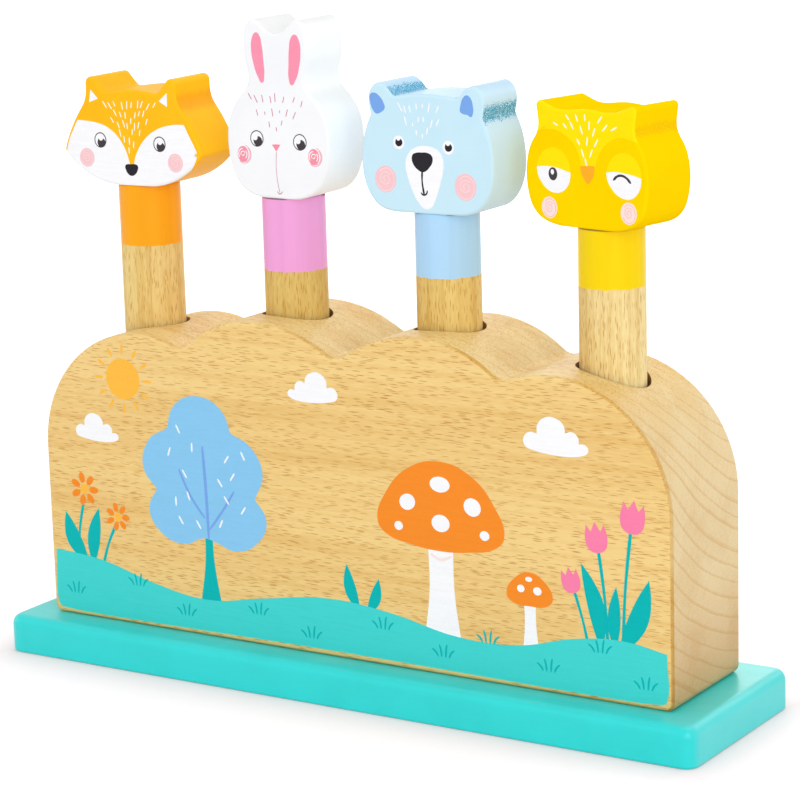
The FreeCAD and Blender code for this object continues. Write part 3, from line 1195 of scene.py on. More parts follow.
def face_place(x: float, up: float, turn: float, right: float, out: float) -> Matrix:
    """Where a flat drawing goes on an upright face that looks towards -Y.

    Args:
        x: Axis about which the face is turned, in millimetres.
        up: Height of the drawing's origin.
        turn: Degrees about that axis.
        right: From the axis to the drawing's origin, along the face.
        out: From the axis to the face.

    Returns:
        The matrix.
    """
    return (Matrix.Translation((x * MM, 0, up * MM)) @ Matrix.Rotation(math.radians(turn), 4, "Z")
            @ Matrix.Translation((right * MM, -out * MM, 0)) @ Matrix.Rotation(math.pi / 2, 4, "X"))


# ---------------------------------------------------------------- the animals' faces
@dataclass(frozen=True)
class Face:
    """What is printed on the front of one head, in millimetres from the top of its peg.

    Attributes:
        eyes: Middle of each eye.
        cheeks: Middle of each cheek.
        rows: Ticks on the forehead.
    """

    eyes: tuple[Point, ...] = ()
    cheeks: tuple[Point, ...] = ()
    rows: tuple[TickRow, ...] = ()

    # A round pupil of radius 1 with a bite of light out of its top.
    PUPIL: ClassVar[tuple] = (
        (1.0, 0.15), (0.80, -0.55), (0.15, -0.92), (-0.55, -0.80), (-0.95, -0.25),
        (-0.97, 0.25), (-0.72, 0.88, "c"), (-0.42, 0.50), (-0.10, 0.42), (0.22, 0.56),
        (0.52, 0.92, "c"), (0.86, 0.55))

    def films(self) -> list[Film]:
        """The films from the lowest up. Each face has its own."""
        raise NotImplementedError

    def forehead(self, ink: Ink, width: float, middle: float, layer: int = 0) -> Film:
        """The ticks on the forehead.

        Args:
            ink: Their colour.
            width: Width of one tick.
            middle: Where a tick stands upright.
            layer: Of the film.

        Returns:
            The film.
        """
        ticks = [one for row in self.rows for one in row.ticks(width, middle)]
        return Film("ticks", ink, ticks, layer)

    def ovals(self, name: str, ink: Ink, places: Sequence[Point], wide: float, tall: float,
              layer: int = 0) -> Film:
        """Like ovals in several places.

        Args:
            name: The film's name.
            ink: Their colour.
            places: Middle of each.
            wide: Half the width of one.
            tall: Half the height of one.
            layer: Of the film.

        Returns:
            The film.
        """
        return Film(name, ink, [oval(u, v, wide, tall) for u, v in places], layer)

    def pupils(self, ink: Ink, shift: Point, size: float, turn: float, layer: int) -> Film:
        """A dark pupil in each eye.

        Args:
            ink: Their colour.
            shift: From the middle of an eye to its pupil.
            size: Radius of a pupil.
            turn: Degrees counterclockwise.
            layer: Of the film.

        Returns:
            The film.
        """
        c, s = math.cos(math.radians(turn)), math.sin(math.radians(turn))
        pupil = shape(*((u * c - v * s, u * s + v * c, *kind) for u, v, *kind in self.PUPIL))
        return Film("pupils", ink, [pupil.moved(u + shift[0], v + shift[1], size)
                                    for u, v in self.eyes], layer)

    def curls(self, ink: Ink, size: float, width: float, layer: int) -> Film:
        """A scribbled ring and curl inside each cheek.

        Args:
            ink: Their colour.
            size: Radius of a cheek.
            width: Width of the line.
            layer: Of the film.

        Returns:
            The film.
        """
        lines = []
        for u, v in self.cheeks:
            lines.append(spiral(u, v, size * 0.86, size * 0.76, 0.78, width, 210))
            lines.append(spiral(u, v, size * 0.56, size * 0.12, 1.6, width, 40))
        return Film("curls", ink, lines, layer)

    @staticmethod
    def arc(middle: Point, reach: float, start: float, end: float, width: float) -> Outline:
        """A drawn arc of an upright oval.

        Args:
            middle: The oval's middle.
            reach: Half its width.
            start: Where the arc starts, in degrees.
            end: Where it ends.
            width: Width of the line.

        Returns:
            The outline around the line.
        """
        right, up = middle
        steps = TURN_POINTS // 2
        angles = [math.radians(start + (end - start) * i / steps) for i in range(steps + 1)]
        return stroke([(right + reach * math.cos(a), up + 1.08 * reach * math.sin(a))
                       for a in angles], width, 0.6)


@dataclass(frozen=True)
class FoxFace(Face):
    """White cheeks under an orange forehead."""

    eyes: tuple[Point, Point] = ((-14.5, 17.0), (12.7, 16.4))
    cheeks: tuple[Point, Point] = ((-21.1, 10.0), (19.6, 9.5))
    rows: tuple[TickRow, ...] = (
        TickRow(30.8, (-11.8, -9.5, -7.4, -3.8, -1.5, 0.5, 3.5, 5.2, 8.0, 11.0)),
        TickRow(27.4, (-7.2, -4.7, -2.5, 2.0, 3.9, 5.9)), TickRow(25.2, (-8.6, 0.0, 7.2)),
        TickRow(23.2, (-5.9, -3.4, -1.8, 1.6, 3.4)), TickRow(20.2, (-5.2, 0.4, 3.8)),
        TickRow(17.4, (-3.4, -1.1)), TickRow(15.9, (0.8,)), TickRow(13.0, (-1.4,)))

    def films(self) -> list[Film]:
        """What is printed.

        Returns:
            The films from the lowest up.
        """
        mask = shape((-24.8, 24.4, "c"), (-20.6, 24.2), (-15.8, 23.6), (-12.5, 22.7),
                     (-9.7, 21.3), (-7.0, 19.2), (-4.8, 16.6), (-3.2, 13.9), (-2.1, 11.1),
                     (-1.3, 8.0, "c"), (-0.3, 6.6, "c"), (0.6, 8.0, "c"), (1.2, 10.6),
                     (2.1, 12.6), (3.6, 15.2), (5.5, 17.5), (8.0, 19.8), (10.8, 21.5),
                     (13.8, 22.8), (17.0, 23.6), (20.6, 24.1), (24.1, 24.1, "c"),
                     (26.5, 19.4), (28.2, 16.3), (29.6, 13.6, "c"), (28.1, 12.6, "c"),
                     (29.6, 12.2, "c"), (27.6, 8.6), (24.0, 5.2), (19.0, 2.2), (13.0, 0.0),
                     (6.5, -1.2), (0.0, -1.5), (-6.5, -1.2), (-13.2, 0.0), (-19.2, 2.0),
                     (-25.0, 5.0), (-30.2, 9.2), (-30.5, 12.2, "c"), (-28.9, 17.0),
                     (-27.0, 20.6))
        ears = [shape((-18.1, 36.3, "c"), (-18.9, 31.4, "c"), (-14.8, 32.9, "c")),
                shape((17.0, 36.0, "c"), (13.2, 32.8, "c"), (16.9, 30.7, "c"))]
        nose = shape((-3.5, 7.5), (-2.6, 8.1), (-0.7, 8.2), (1.4, 8.2), (2.3, 7.6), (2.1, 5.9),
                     (0.9, 4.3), (-0.8, 3.7), (-2.4, 4.5), (-3.3, 6.0))
        return [
            Film("face", Ink.WHITE, [mask], 0, "head_fox"),
            Film("ears", Ink.WHITE, ears),
            self.forehead(Ink.CREAM, 0.44, -0.4),
            self.ovals("eye_rims", Ink.SOOT, self.eyes, 2.75, 2.95, 1),
            self.ovals("eyes", Ink.WHITE, self.eyes, 2.35, 2.55, 2),
            self.pupils(Ink.SOOT, (0.5, -1.05), 1.85, 0, 3),
            self.ovals("cheeks", Ink.PINK, self.cheeks, 3.35, 3.6, 1),
            self.curls(Ink.PALE_PINK, 3.4, 0.20, 2),
            Film("nose", Ink.BLACK, [nose], 1),
        ]


@dataclass(frozen=True)
class RabbitFace(Face):
    """Long pink ears over a white face."""

    eyes: tuple[Point, Point] = ((-9.1, 22.0), (10.0, 21.4))
    cheeks: tuple[Point, Point] = ((-15.2, 15.9), (16.3, 16.2))
    rows: tuple[TickRow, ...] = (
        TickRow(37.2, (-11.6, -9.0, -6.0, -2.4, -0.4, 3.3, 7.9), 2.6, 2.7),
        TickRow(35.2, (11.3,), 1.4, 2.9), TickRow(31.5, (-8.6, -1.8, 4.6, 7.9), 2.4, 2.5),
        TickRow(31.9, (-5.1, 1.5), 3.0, 1.0), TickRow(27.8, (-3.3, 2.2), 4.0, 2.2),
        TickRow(26.3, (-0.2,), 1.0, 1.9))

    def films(self) -> list[Film]:
        """What is printed.

        Returns:
            The films from the lowest up.
        """
        ears = [shape((-7.9, 61.3), (-9.8, 58.8), (-10.2, 55.0), (-9.3, 49.5), (-7.6, 45.0),
                      (-5.7, 42.8), (-4.8, 45.2), (-4.9, 51.0), (-5.4, 56.5), (-6.4, 60.3)),
                shape((9.3, 60.9), (11.2, 58.5), (11.6, 54.0), (10.7, 48.5), (9.0, 44.1),
                      (7.2, 42.3), (6.1, 44.6), (6.2, 50.0), (6.6, 55.4), (7.7, 59.8))]
        nose = shape((-2.5, 20.0, "c"), (-0.6, 20.2), (1.3, 20.1, "c"), (-0.6, 17.5, "c"))
        mouth = [stroke([(-0.6, 17.3), (-0.9, 12.0), (-0.5, 6.5), (0.3, 2.3)], 0.17, 0.8),
                 stroke([(-0.8, 2.6), (0.3, 1.7), (1.6, 2.7)], 0.34)]
        hearts = [(u - 0.4, v) for u, v in self.cheeks]
        rings = [self.arc(cheek, *turn, 0.26) for cheek in self.cheeks
                 for turn in ((3.15, -130, 75), (2.75, -75, 50))]
        bites = [self.arc(heart, *turn) for heart in hearts
                 for turn in ((1.95, 95, 215, 0.42), (1.75, -50, 45, 0.42),
                              (1.0, 20, 200, 0.36), (0.5, -150, 20, 0.36))]
        return [
            Film("ears", Ink.EAR_PINK, ears),
            self.forehead(Ink.ROSE, 0.34, -0.4),
            self.ovals("eye_rims", Ink.SOOT, self.eyes, 2.95, 3.05),
            self.ovals("eyes", Ink.WHITE, self.eyes, 2.58, 2.68, 1),
            self.pupils(Ink.SOOT, (0.5, -1.05), 1.9, 33, 2),
            self.ovals("cheeks", Ink.ROUGE, hearts, 2.4, 3.0),
            Film("rings", Ink.ROUGE, rings),
            Film("bites", Ink.WHITE, bites, 1),
            Film("nose", Ink.ROUGE, [nose]),
            Film("mouth", Ink.ROSE, mouth, 1),
        ]


@dataclass(frozen=True)
class BearFace(Face):
    """A white muzzle and small eyes on pale blue."""

    eyes: tuple[Point, Point] = ((-11.4, 25.3), (9.3, 24.3))
    cheeks: tuple[Point, Point] = ((-17.3, 11.8), (16.1, 10.5))
    rows: tuple[TickRow, ...] = (
        TickRow(37.8, (-10.5, -8.5, -6.4, 1.6, 5.1), 3.0, 3.0),
        TickRow(38.5, (-3.6, -1.0), 3.0, 1.9), TickRow(32.7, (-8.3, 2.5, 5.1), 3.0, 2.9),
        TickRow(32.4, (-5.3,), 4.0, 1.3), TickRow(34.4, (-2.9, -0.8), 3.0, 1.6),
        TickRow(29.6, (-3.8, 0.7), 5.0, 2.2), TickRow(28.4, (-1.3,), 1.0, 1.9))

    def films(self) -> list[Film]:
        """What is printed.

        Returns:
            The films from the lowest up.
        """
        muzzle = shape((-0.6, 24.5), (-4.6, 23.7), (-7.6, 21.2), (-8.7, 17.5), (-7.9, 13.0),
                       (-6.0, 8.0), (-3.6, 3.9), (-0.9, 1.7), (1.5, 2.2), (3.8, 6.0),
                       (5.6, 11.0), (6.9, 15.5), (7.1, 19.4), (5.6, 22.6), (2.8, 24.1))
        nose = shape((-1.8, 22.1), (0.8, 22.0), (2.4, 21.0), (2.6, 18.9), (1.2, 16.7),
                     (-0.5, 15.3), (-1.8, 15.0), (-3.3, 15.6), (-5.1, 17.2), (-6.0, 19.4),
                     (-5.6, 21.2), (-4.2, 21.9))
        mouth = [stroke([(-1.8, 15.2), (-1.9, 11.6), (-1.2, 7.0)], 0.55, 0.9)]
        smile = [stroke([(-2.4, 7.5), (-1.8, 6.9), (-0.9, 6.8), (-0.1, 7.4), (0.2, 8.4)], 0.55)]
        ears = [shape((-22.9, 42.3), (-21.3, 42.9), (-19.0, 41.7), (-17.3, 39.3),
                      (-16.9, 37.5), (-18.3, 36.1), (-20.6, 35.4), (-22.0, 36.8),
                      (-23.0, 39.6)),
                shape((17.4, 43.3), (18.9, 42.3), (19.8, 39.6), (19.8, 36.9), (18.9, 35.6),
                      (17.6, 36.3), (15.8, 36.6), (14.6, 37.3), (14.8, 39.8), (15.9, 42.4))]
        return [
            Film("muzzle", Ink.WHITE, [muzzle]),
            Film("ears", Ink.MID_BLUE, ears),
            self.forehead(Ink.WHITE, 0.48, -1.8),
            self.ovals("eyes", Ink.WHITE, self.eyes, 2.3, 2.5),
            self.pupils(Ink.BLACK, (0.1, 0.0), 1.5, 0, 1),
            self.ovals("cheeks", Ink.PINK, self.cheeks, 4.45, 4.85),
            self.curls(Ink.PALE_PINK, 4.6, 0.22, 1),
            Film("nose", Ink.BLACK, [nose], 1),
            Film("mouth", Ink.BLACK, mouth, 2),
            Film("smile", Ink.BLACK, smile, 3),
        ]


@dataclass(frozen=True)
class OwlFace(Face):
    """A lemon crown over two discs, one eye open and one winking."""

    eyes: tuple[Point, Point] = ((-14.2, 19.6), (17.1, 19.8))
    cheeks: tuple[Point, Point] = ((-16.3, 6.2), (19.0, 6.9))
    rows: tuple[TickRow, ...] = (
        TickRow(38.4, (-7.6, -3.5, 0.1, 6.7), 5.5), TickRow(35.8, (2.0,), 1.0),
        TickRow(35.4, (-13.0, -8.8, -5.8, 8.9, 12.9), 5.2), TickRow(33.9, (-1.5, 4.0), 8.0),
        TickRow(30.7, (-2.9, 1.0, 5.0), 8.0), TickRow(26.6, (-1.0, 2.7), 9.0),
        TickRow(23.7, (0.4,), 40.0))

    def films(self) -> list[Film]:
        """What is printed.

        Returns:
            The films from the lowest up.
        """
        crown = shape((-24.8, 31.6, "c"), (-24.8, 46.0, "c"), (24.8, 46.0, "c"),
                      (24.8, 31.0, "c"), (21.9, 31.6), (15.5, 32.8),
                      (9.9, 30.5), (6.3, 26.7), (4.7, 22.6), (4.0, 20.0, "c"),
                      (-1.7, 20.0, "c"), (-1.9, 22.2), (-4.3, 28.4), (-9.5, 32.5),
                      (-16.1, 33.9), (-21.4, 32.8))
        whites = [shape((-21.8, 20.3, "c"), (-18.1, 20.7), (-13.8, 20.6), (-10.1, 20.0),
                        (-6.6, 19.1, "c"), (-6.8, 17.0), (-8.2, 14.0), (-10.7, 12.1),
                        (-13.4, 11.6), (-16.7, 12.4), (-19.6, 14.9), (-21.3, 17.6)),
                  shape((9.3, 20.4, "c"), (13.1, 20.9), (17.2, 20.7), (21.1, 20.2),
                        (24.6, 19.4, "c"), (24.4, 17.0), (23.0, 14.1), (20.7, 12.2),
                        (18.0, 11.7), (14.7, 12.6), (11.7, 15.0), (9.9, 17.7))]
        wink = stroke([(12.6, 18.2), (14.3, 19.5), (16.3, 19.8), (18.2, 19.1), (19.9, 17.6)],
                      0.85, 0.8)
        beak = shape((-2.2, 21.8, "c"), (1.0, 22.1), (4.2, 22.2, "c"), (3.9, 19.6),
                     (2.7, 17.2), (1.2, 15.9), (-0.3, 17.2), (-1.7, 19.6))
        return [
            Film("crown", Ink.LEMON, [crown], 0, "head_owl"),
            self.forehead(Ink.CREAM, 0.56, 0.7, 1),
            self.ovals("lids", Ink.LEMON, self.eyes, 7.5, 7.9),
            Film("eyes", Ink.WHITE, whites, 1),
            Film("pupil", Ink.SOOT, [oval(-14.5, 18.2, 1.95, 2.3), wink], 2),
            Film("glint", Ink.WHITE, [oval(-14.7, 18.9, 0.75, 0.95)], 3),
            Film("beak", Ink.BEAK, [beak], 2),
            self.ovals("cheeks", Ink.PALE_PINK, self.cheeks, 3.5, 3.85),
            self.curls(Ink.BLUSH, 3.6, 0.24, 1),
        ]


# ---------------------------------------------------------------- one animal
@dataclass(frozen=True)
class Spring:
    """A compression spring with ends ground flat, in millimetres.

    Attributes:
        foot: Height of its lower end.
        rest: Its length with the peg up.
        pressed: Its length with the peg right down; not used.
        radius: From its axis to the middle of the wire.
        wire: Thickness of the wire.
        turns: How often the wire goes round.
    """

    foot: float = 15.0
    rest: float = 77.0
    pressed: float = 37.0
    radius: float = 13.0
    wire: float = 1.8
    turns: float = 8.5

    WIRE_SIDES: ClassVar[int] = 12
    TURN_STEPS: ClassVar[int] = 40
    SHARP: ClassVar[float] = math.radians(50)

    def coil(self, name: str) -> bpy.types.Object:
        """Winds the wire, a little longer than the spring at both ends.

        Args:
            name: Name of the new object.

        Returns:
            The coil, upright over the origin.
        """
        deselect()
        bpy.ops.mesh.primitive_circle_add(vertices=self.WIRE_SIDES, radius=self.wire / 2 * MM,
                                          fill_type="NOTHING", location=(self.radius * MM, 0, 0),
                                          rotation=(math.pi / 2, 0, 0))
        coil = bpy.context.object
        coil.name = name
        bpy.ops.object.transform_apply(location=True, rotation=True, scale=True)
        pitch = self.rest / self.turns
        turns = self.turns + 2 * self.wire / pitch
        screw = coil.modifiers.new("screw", "SCREW")
        screw.angle = math.tau * turns
        screw.screw_offset = pitch * turns * MM
        screw.steps = screw.render_steps = int(turns * self.TURN_STEPS)
        screw.use_smooth_shade = True
        bpy.ops.object.modifier_apply(modifier=screw.name)
        return coil

    def build(self, name: str, x: float, finish: bpy.types.Material) -> None:
        """Winds the spring, grinds its ends and stands it in its bore.

        Args:
            name: Name of the animal.
            x: Where its axis is.
            finish: The wire's material.
        """
        spring = self.coil("wire_" + name)
        bpy.ops.object.mode_set(mode="EDIT")
        for height, above in ((self.wire, False), (self.wire + self.rest, True)):
            bpy.ops.mesh.select_all(action="SELECT")
            bpy.ops.mesh.bisect(plane_co=(0, 0, height * MM), plane_no=(0, 0, 1), use_fill=True,
                                clear_inner=not above, clear_outer=above)
        bpy.ops.mesh.select_all(action="SELECT")
        bpy.ops.mesh.remove_doubles(threshold=MERGE)
        bpy.ops.mesh.normals_make_consistent(inside=False)
        bpy.ops.transform.translate(value=(x * MM, 0, (self.foot - self.wire) * MM))
        bpy.ops.object.mode_set(mode="OBJECT")
        bpy.ops.object.shade_smooth_by_angle(angle=self.SHARP)
        dress(spring, finish)
        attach(spring, "block")
        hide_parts("spring_" + name)
        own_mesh(spring)


@dataclass(frozen=True)
class Animal:
    """A peg with its head, its spring and the small parts below it, in millimetres.

    Attributes:
        name: Name of the animal.
        index: Its place in the row, from the left.
        peg_top: Height of its peg's top.
        turn: Degrees by which the head stands turned.
        shift: From the peg's axis to the head's middle.
        slot: Material slot of the head; not used.
        band_foot: Height of the lower edge of the peg's paint.
        band_colour: The peg's paint.
        head: The head's paint.
        face: What is printed on the head.
        pith: Across the peg, to the heart of the tree it was cut from.
        tone: Tint of the peg's wood.
        spring: What pushes the peg up.
    """

    name: str
    index: int
    peg_top: float
    turn: float
    shift: float
    slot: str
    band_foot: float
    band_colour: Colour
    head: Paint
    face: Face
    pith: Point = (30.0, 45.0)
    tone: Colour = (1.0, 1.0, 1.0)
    spring: Spring = Spring()

    PALE: ClassVar[Colour] = (0.860, 0.640, 0.330)
    DEEP: ClassVar[Colour] = (0.700, 0.440, 0.165)
    SMALL_PARTS: ClassVar[dict[str, str]] = {"neck_pin_": "dowel", "stop_disc_": "dowel",
                                             "stop_screw_": "zinc", "spring_washer_": "wire"}

    @property
    def x(self) -> float:
        """The peg's axis."""
        return (self.index - 1.5) * PEG_PITCH

    def dress_parts(self, nodes: Nodes, shared: Finishes) -> None:
        """Gives the turned and sawn parts their finishes.

        Args:
            nodes: The CAD nodes.
            shared: Finishes that all four animals share.
        """
        wood = PegTimber("wood_peg_" + self.name, Grain.ALONG_Z,
                         (self.x + self.pith[0], self.pith[1]), ring=3.4, fleck_length=5.6,
                         figure=1.10, pale=tinted(self.PALE, self.tone),
                         deep=tinted(self.DEEP, self.tone), gloss=0.08,
                         band=Band(self.band_foot, self.band_colour, self.peg_top))
        paint = replace(self.head, middle=(self.x + self.shift, self.peg_top), turn=self.turn)
        dress(nodes["peg_" + self.name], wood.make())
        dress(nodes["head_" + self.name], paint.make())
        for part, finish in self.SMALL_PARTS.items():
            dress(nodes[part + self.name], shared[finish])

    def print_face(self) -> None:
        """Prints the face on the front of the head."""
        place = face_place(self.x, self.peg_top, self.turn, self.shift, HEAD_THICKNESS / 2)
        for film in self.face.films():
            printed = film.build(place, self.name)
            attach(printed, self.name + "_peg")

    def build(self, nodes: Nodes, shared: Finishes) -> None:
        """Builds and dresses the whole animal.

        Args:
            nodes: The CAD nodes.
            shared: Finishes that all four animals share.
        """
        self.dress_parts(nodes, shared)
        self.print_face()
        self.spring.build(self.name, self.x, shared["wire"])
        LOG.info("%s built", self.name)


# ---------------------------------------------------------------- block and board
@dataclass(frozen=True)
class Meadow:
    """The picture on the front of the block, in millimetres from the middle of the board's foot.

    Attributes:
        ground_foot: Height of the ground's lower edge.
        ground_side: Half the ground's width.
        tufts: Where the tufts of grass stand.
        clouds: Each cloud's place and size, and whether it is flipped.
        flowers: Each round flower's place and size.
        sun: The sun's place and radius.
    """

    ground_foot: float = 17.4
    ground_side: float = 135.2
    tufts: tuple[Point, ...] = ((-126, 24), (-95, 31), (-72, 22), (-38, 27), (-14, 21), (18, 29),
                                (44, 22), (63, 30), (88, 23), (109, 33), (127, 22))
    clouds: tuple[tuple[float, float, float, bool], ...] = (
        (-10, 113, 0.85, True), (92, 104, 1.0, False), (-112, 88, 0.8, False))
    flowers: tuple[tuple[float, float, float], ...] = ((-119.6, 67, 6.4), (-103.8, 57.5, 5.4))
    sun: tuple[float, float, float] = (-98, 113, 8.0)

    PETALS: ClassVar[int] = 7
    RAY_STEP: ClassVar[int] = 30
    TREE_LEAVES: ClassVar[int] = 26
    TREE_COLUMNS: ClassVar[int] = 6
    # Along a leaf: how far up, and how much of its width it has there.
    LEAF: ClassVar[tuple[Point, ...]] = ((0.3, 0.85), (0.55, 1.0), (0.8, 0.62))
    # Blades of a tuft: where each stands, how far it leans, and its height.
    BLADES: ClassVar[tuple[Place, ...]] = ((-2.4, -2.4, 2.6), (-0.9, -0.9, 4.4), (0.8, 0.6, 4.8),
                                           (2.3, 2.2, 3.0))
    CUP: ClassVar[tuple] = ((0, -0.6), (3.2, 0.6), (4.4, 4.2), (3.6, 9.6, "c"), (1.9, 7.0, "c"),
                            (0, 10.6, "c"), (-1.9, 7.0, "c"), (-3.6, 9.6, "c"), (-4.4, 4.2),
                            (-3.2, 0.6))
    CLOUD: ClassVar[Outline] = shape(
        (-9.5, 0), (-12.4, 1.4), (-12.6, 4.4), (-10.2, 6.4), (-7.4, 6.0, "c"), (-7.0, 9.4),
        (-3.9, 12.2), (0.3, 12.2), (3.4, 10.0), (4.0, 7.2, "c"), (6.8, 7.9), (9.2, 6.0),
        (9.4, 3.8, "c"), (12.0, 3.7), (13.2, 1.8), (11.6, 0))

    def leaf(self, foot: Point, tip: Point, width: float, bow: float) -> Outline:
        """A pointed leaf.

        Args:
            foot: Where it grows from.
            tip: Its point.
            width: At its widest.
            bow: How far its middle bends to the left.

        Returns:
            The outline.
        """
        start, end = Vector(foot), Vector(tip)
        along = end - start
        across = Vector((-along.y, along.x)).normalized()
        left, right = [], []
        for share, wide in self.LEAF:
            middle, bend = start + along * share, bow * math.sin(math.pi * share)
            left.append(middle + across * (bend + width / 2 * wide))
            right.append(middle + across * (bend - width / 2 * wide))
        return shape((*start, "c"), *(tuple(point) for point in left), (*end, "c"),
                     *(tuple(point) for point in reversed(right)))

    def tuft(self, place: Point) -> list[Outline]:
        """Four blades of grass that don't touch.

        Args:
            place: Where they grow.

        Returns:
            One outline for each blade.
        """
        x, z = place
        return [stroke([(x + foot, z), (x + foot + lean * 0.4, z + tall * 0.6),
                        (x + foot + lean, z + tall)], 0.75) for foot, lean, tall in self.BLADES]

    def tulip(self, place: Point, size: float, lean: float) -> Outline:
        """A tulip's cup with three points.

        Args:
            place: Its foot.
            size: Its scale.
            lean: Degrees to the right.

        Returns:
            The outline.
        """
        x, z = place
        c, s = math.cos(math.radians(lean)) * size, math.sin(math.radians(lean)) * size
        return shape(*((x + u * c + v * s, z - u * s + v * c, *kind) for u, v, *kind in self.CUP))

    def plants(self) -> list[Film]:
        """The stems of the flowers and the leaves that grow from the ground.

        Returns:
            The films from the lowest up.
        """
        stems = [stroke([(112, 34), (111, 52), (108.5, 71)], 1.1, 0.8),
                 stroke([(118, 34), (119, 56), (121.5, 79)], 1.1, 0.8),
                 stroke([(104.5, 33), (102, 44), (98.5, 55)], 1.0, 0.8),
                 stroke([(-124, 38), (-123, 50), (-120, 63)], 1.1, 0.8),
                 stroke([(-112, 37), (-109, 46), (-105, 54)], 1.1, 0.8)]
        blades = [self.leaf((116, 33), (128.5, 62), 7.5, -2.0),
                  self.leaf((109.5, 33), (101.5, 65), 6.5, -2.0),
                  self.leaf((114.8, 34), (115.5, 58), 5.0, 0.6),
                  self.leaf((-119, 37), (-129.5, 57), 7.0, 2.0),
                  self.leaf((-117, 36), (-113, 60), 6.0, 1.0),
                  self.leaf((8, 34), (2.5, 52), 5.0, 1.4),
                  self.leaf((11, 33.5), (16.5, 48), 4.6, -1.2)]
        return [Film("stems", Ink.TEAL, stems), Film("blades", Ink.TEAL, blades, 1)]

    def tree(self) -> list[Film]:
        """The round tree.

        Returns:
            The films from the lowest up.
        """
        crown = shape((-62, 54.0), (-72, 50.5), (-83, 54.0), (-88, 63.0), (-84, 71.0, "c"),
                      (-90, 79.0), (-87, 90.0), (-78, 95.5, "c"), (-74, 105.0),
                      (-63, 109.5), (-52, 105.0), (-48, 96.5, "c"), (-39, 92.0),
                      (-34, 82.0), (-38, 72.0, "c"), (-33, 64.0), (-38, 54.5),
                      (-48, 50.5), (-57, 53.0))
        trunk = shape((-65.0, 28.0, "c"), (-62.2, 45.0), (-61.8, 56.0, "c"), (-58.4, 56.0, "c"),
                      (-58.0, 45.0), (-55.2, 28.0, "c"), (-60, 27.0))
        boughs = [stroke([(-60.2, 54), (-60.6, 72), (-61.5, 90)], 1.3, 0.5),
                  stroke([(-61.6, 62), (-68, 70), (-73, 80)], 1.0, 0.5),
                  stroke([(-59.4, 58), (-53, 66), (-47.5, 74)], 1.0, 0.5)]
        leaves = []
        for i in range(self.TREE_LEAVES):
            row, column = divmod(i, self.TREE_COLUMNS)
            x = -80 + column * 8.3 + (row % 2) * 4.0 + uneven(i, 1.3)
            z = 59 + row * 9.6 + uneven(i + 31, 1.6)
            inside = (x + 61) ** 2 / 20 ** 2 + (z - 79) ** 2 / 26 ** 2 < 1
            if inside and abs(x + 60.6) > 2.5:
                leaves.append(tick(x, z, 3.4, uneven(i + 3, 35), 0.7))
        return [
            Film("trunk", Ink.TEAL, [trunk]),
            Film("tree", Ink.SKY_BLUE, [crown], 1),
            Film("boughs", Ink.MID_BLUE, boughs[:1], 2),
            Film("side_boughs", Ink.MID_BLUE, boughs[1:], 2),
            Film("leaves", Ink.WHITE, leaves, 3),
        ]

    def toadstools(self) -> list[Film]:
        """The large and the small toadstool.

        Returns:
            The films from the lowest up.
        """
        cap = shape((20.5, 66.0), (17.0, 70.0), (21.0, 82.0), (31.0, 92.0), (44.0, 95.5),
                    (57.0, 91.5), (66.5, 81.5), (70.5, 70.0), (67.0, 65.8), (56.0, 63.0),
                    (43.5, 62.0), (31.0, 63.2))
        stem = shape((36.0, 28.0, "c"), (38.6, 47.0), (38.4, 63.5, "c"), (49.0, 63.5, "c"),
                     (49.2, 47.0), (51.8, 28.0, "c"), (44.0, 27.0))
        spots = [oval(30, 79, 3.4, 3.0, 20), oval(44, 87, 4.2, 2.9), oval(57.5, 80, 3.6, 3.3, -25),
                 oval(44, 72.5, 3.8, 3.2), oval(26, 69.6, 1.8, 1.7), oval(62.4, 70, 2.0, 1.8)]
        gills = [stroke([(39.6, 60.5), (43.7, 58.8), (48.0, 60.5)], 1.0, 0.6)]
        small_cap = shape((72.5, 47.5), (71.0, 50.0), (74.5, 56.0), (80.5, 58.8), (86.6, 56.0),
                          (90.0, 50.0), (88.5, 47.5), (80.5, 46.2))
        small_stem = shape((77.4, 28.5, "c"), (78.4, 40.0), (78.2, 47.6, "c"), (83.0, 47.6, "c"),
                           (83.0, 40.0), (84.2, 28.5, "c"), (80.8, 27.8))
        small_spots = [oval(77.0, 52.4, 1.5, 1.4), oval(83.8, 52.2, 1.7, 1.5),
                       oval(80.3, 56.2, 1.4, 0.9)]
        return [
            Film("stem", Ink.WHITE, [stem, small_stem]),
            Film("gills", Ink.PALE_PINK, gills, 1),
            Film("caps", Ink.ORANGE, [cap, small_cap], 1),
            Film("spots", Ink.WHITE, spots + small_spots, 2),
        ]

    def blossoms(self) -> list[Film]:
        """The tulips and the round flowers.

        Returns:
            The films from the lowest up.
        """
        tulips = [self.tulip((108.3, 70), 1.0, -6), self.tulip((121.7, 78.5), 1.1, 6),
                  self.tulip((98.2, 54), 0.85, -12)]
        petals, hearts = [], []
        for x, z, size in self.flowers:
            for i in range(self.PETALS):
                a = i * math.tau / self.PETALS
                petals.append(oval(x + math.cos(a) * size * 0.72, z + math.sin(a) * size * 0.72,
                                   size * 0.34, size * 0.21, math.degrees(a)))
            hearts.append(oval(x, z, size * 0.31, size * 0.31))
        return [
            Film("tulips", Ink.MAUVE, tulips, 2),
            Film("petals", Ink.ORANGE, petals, 1),
            Film("hearts", Ink.SUN, hearts, 2),
        ]

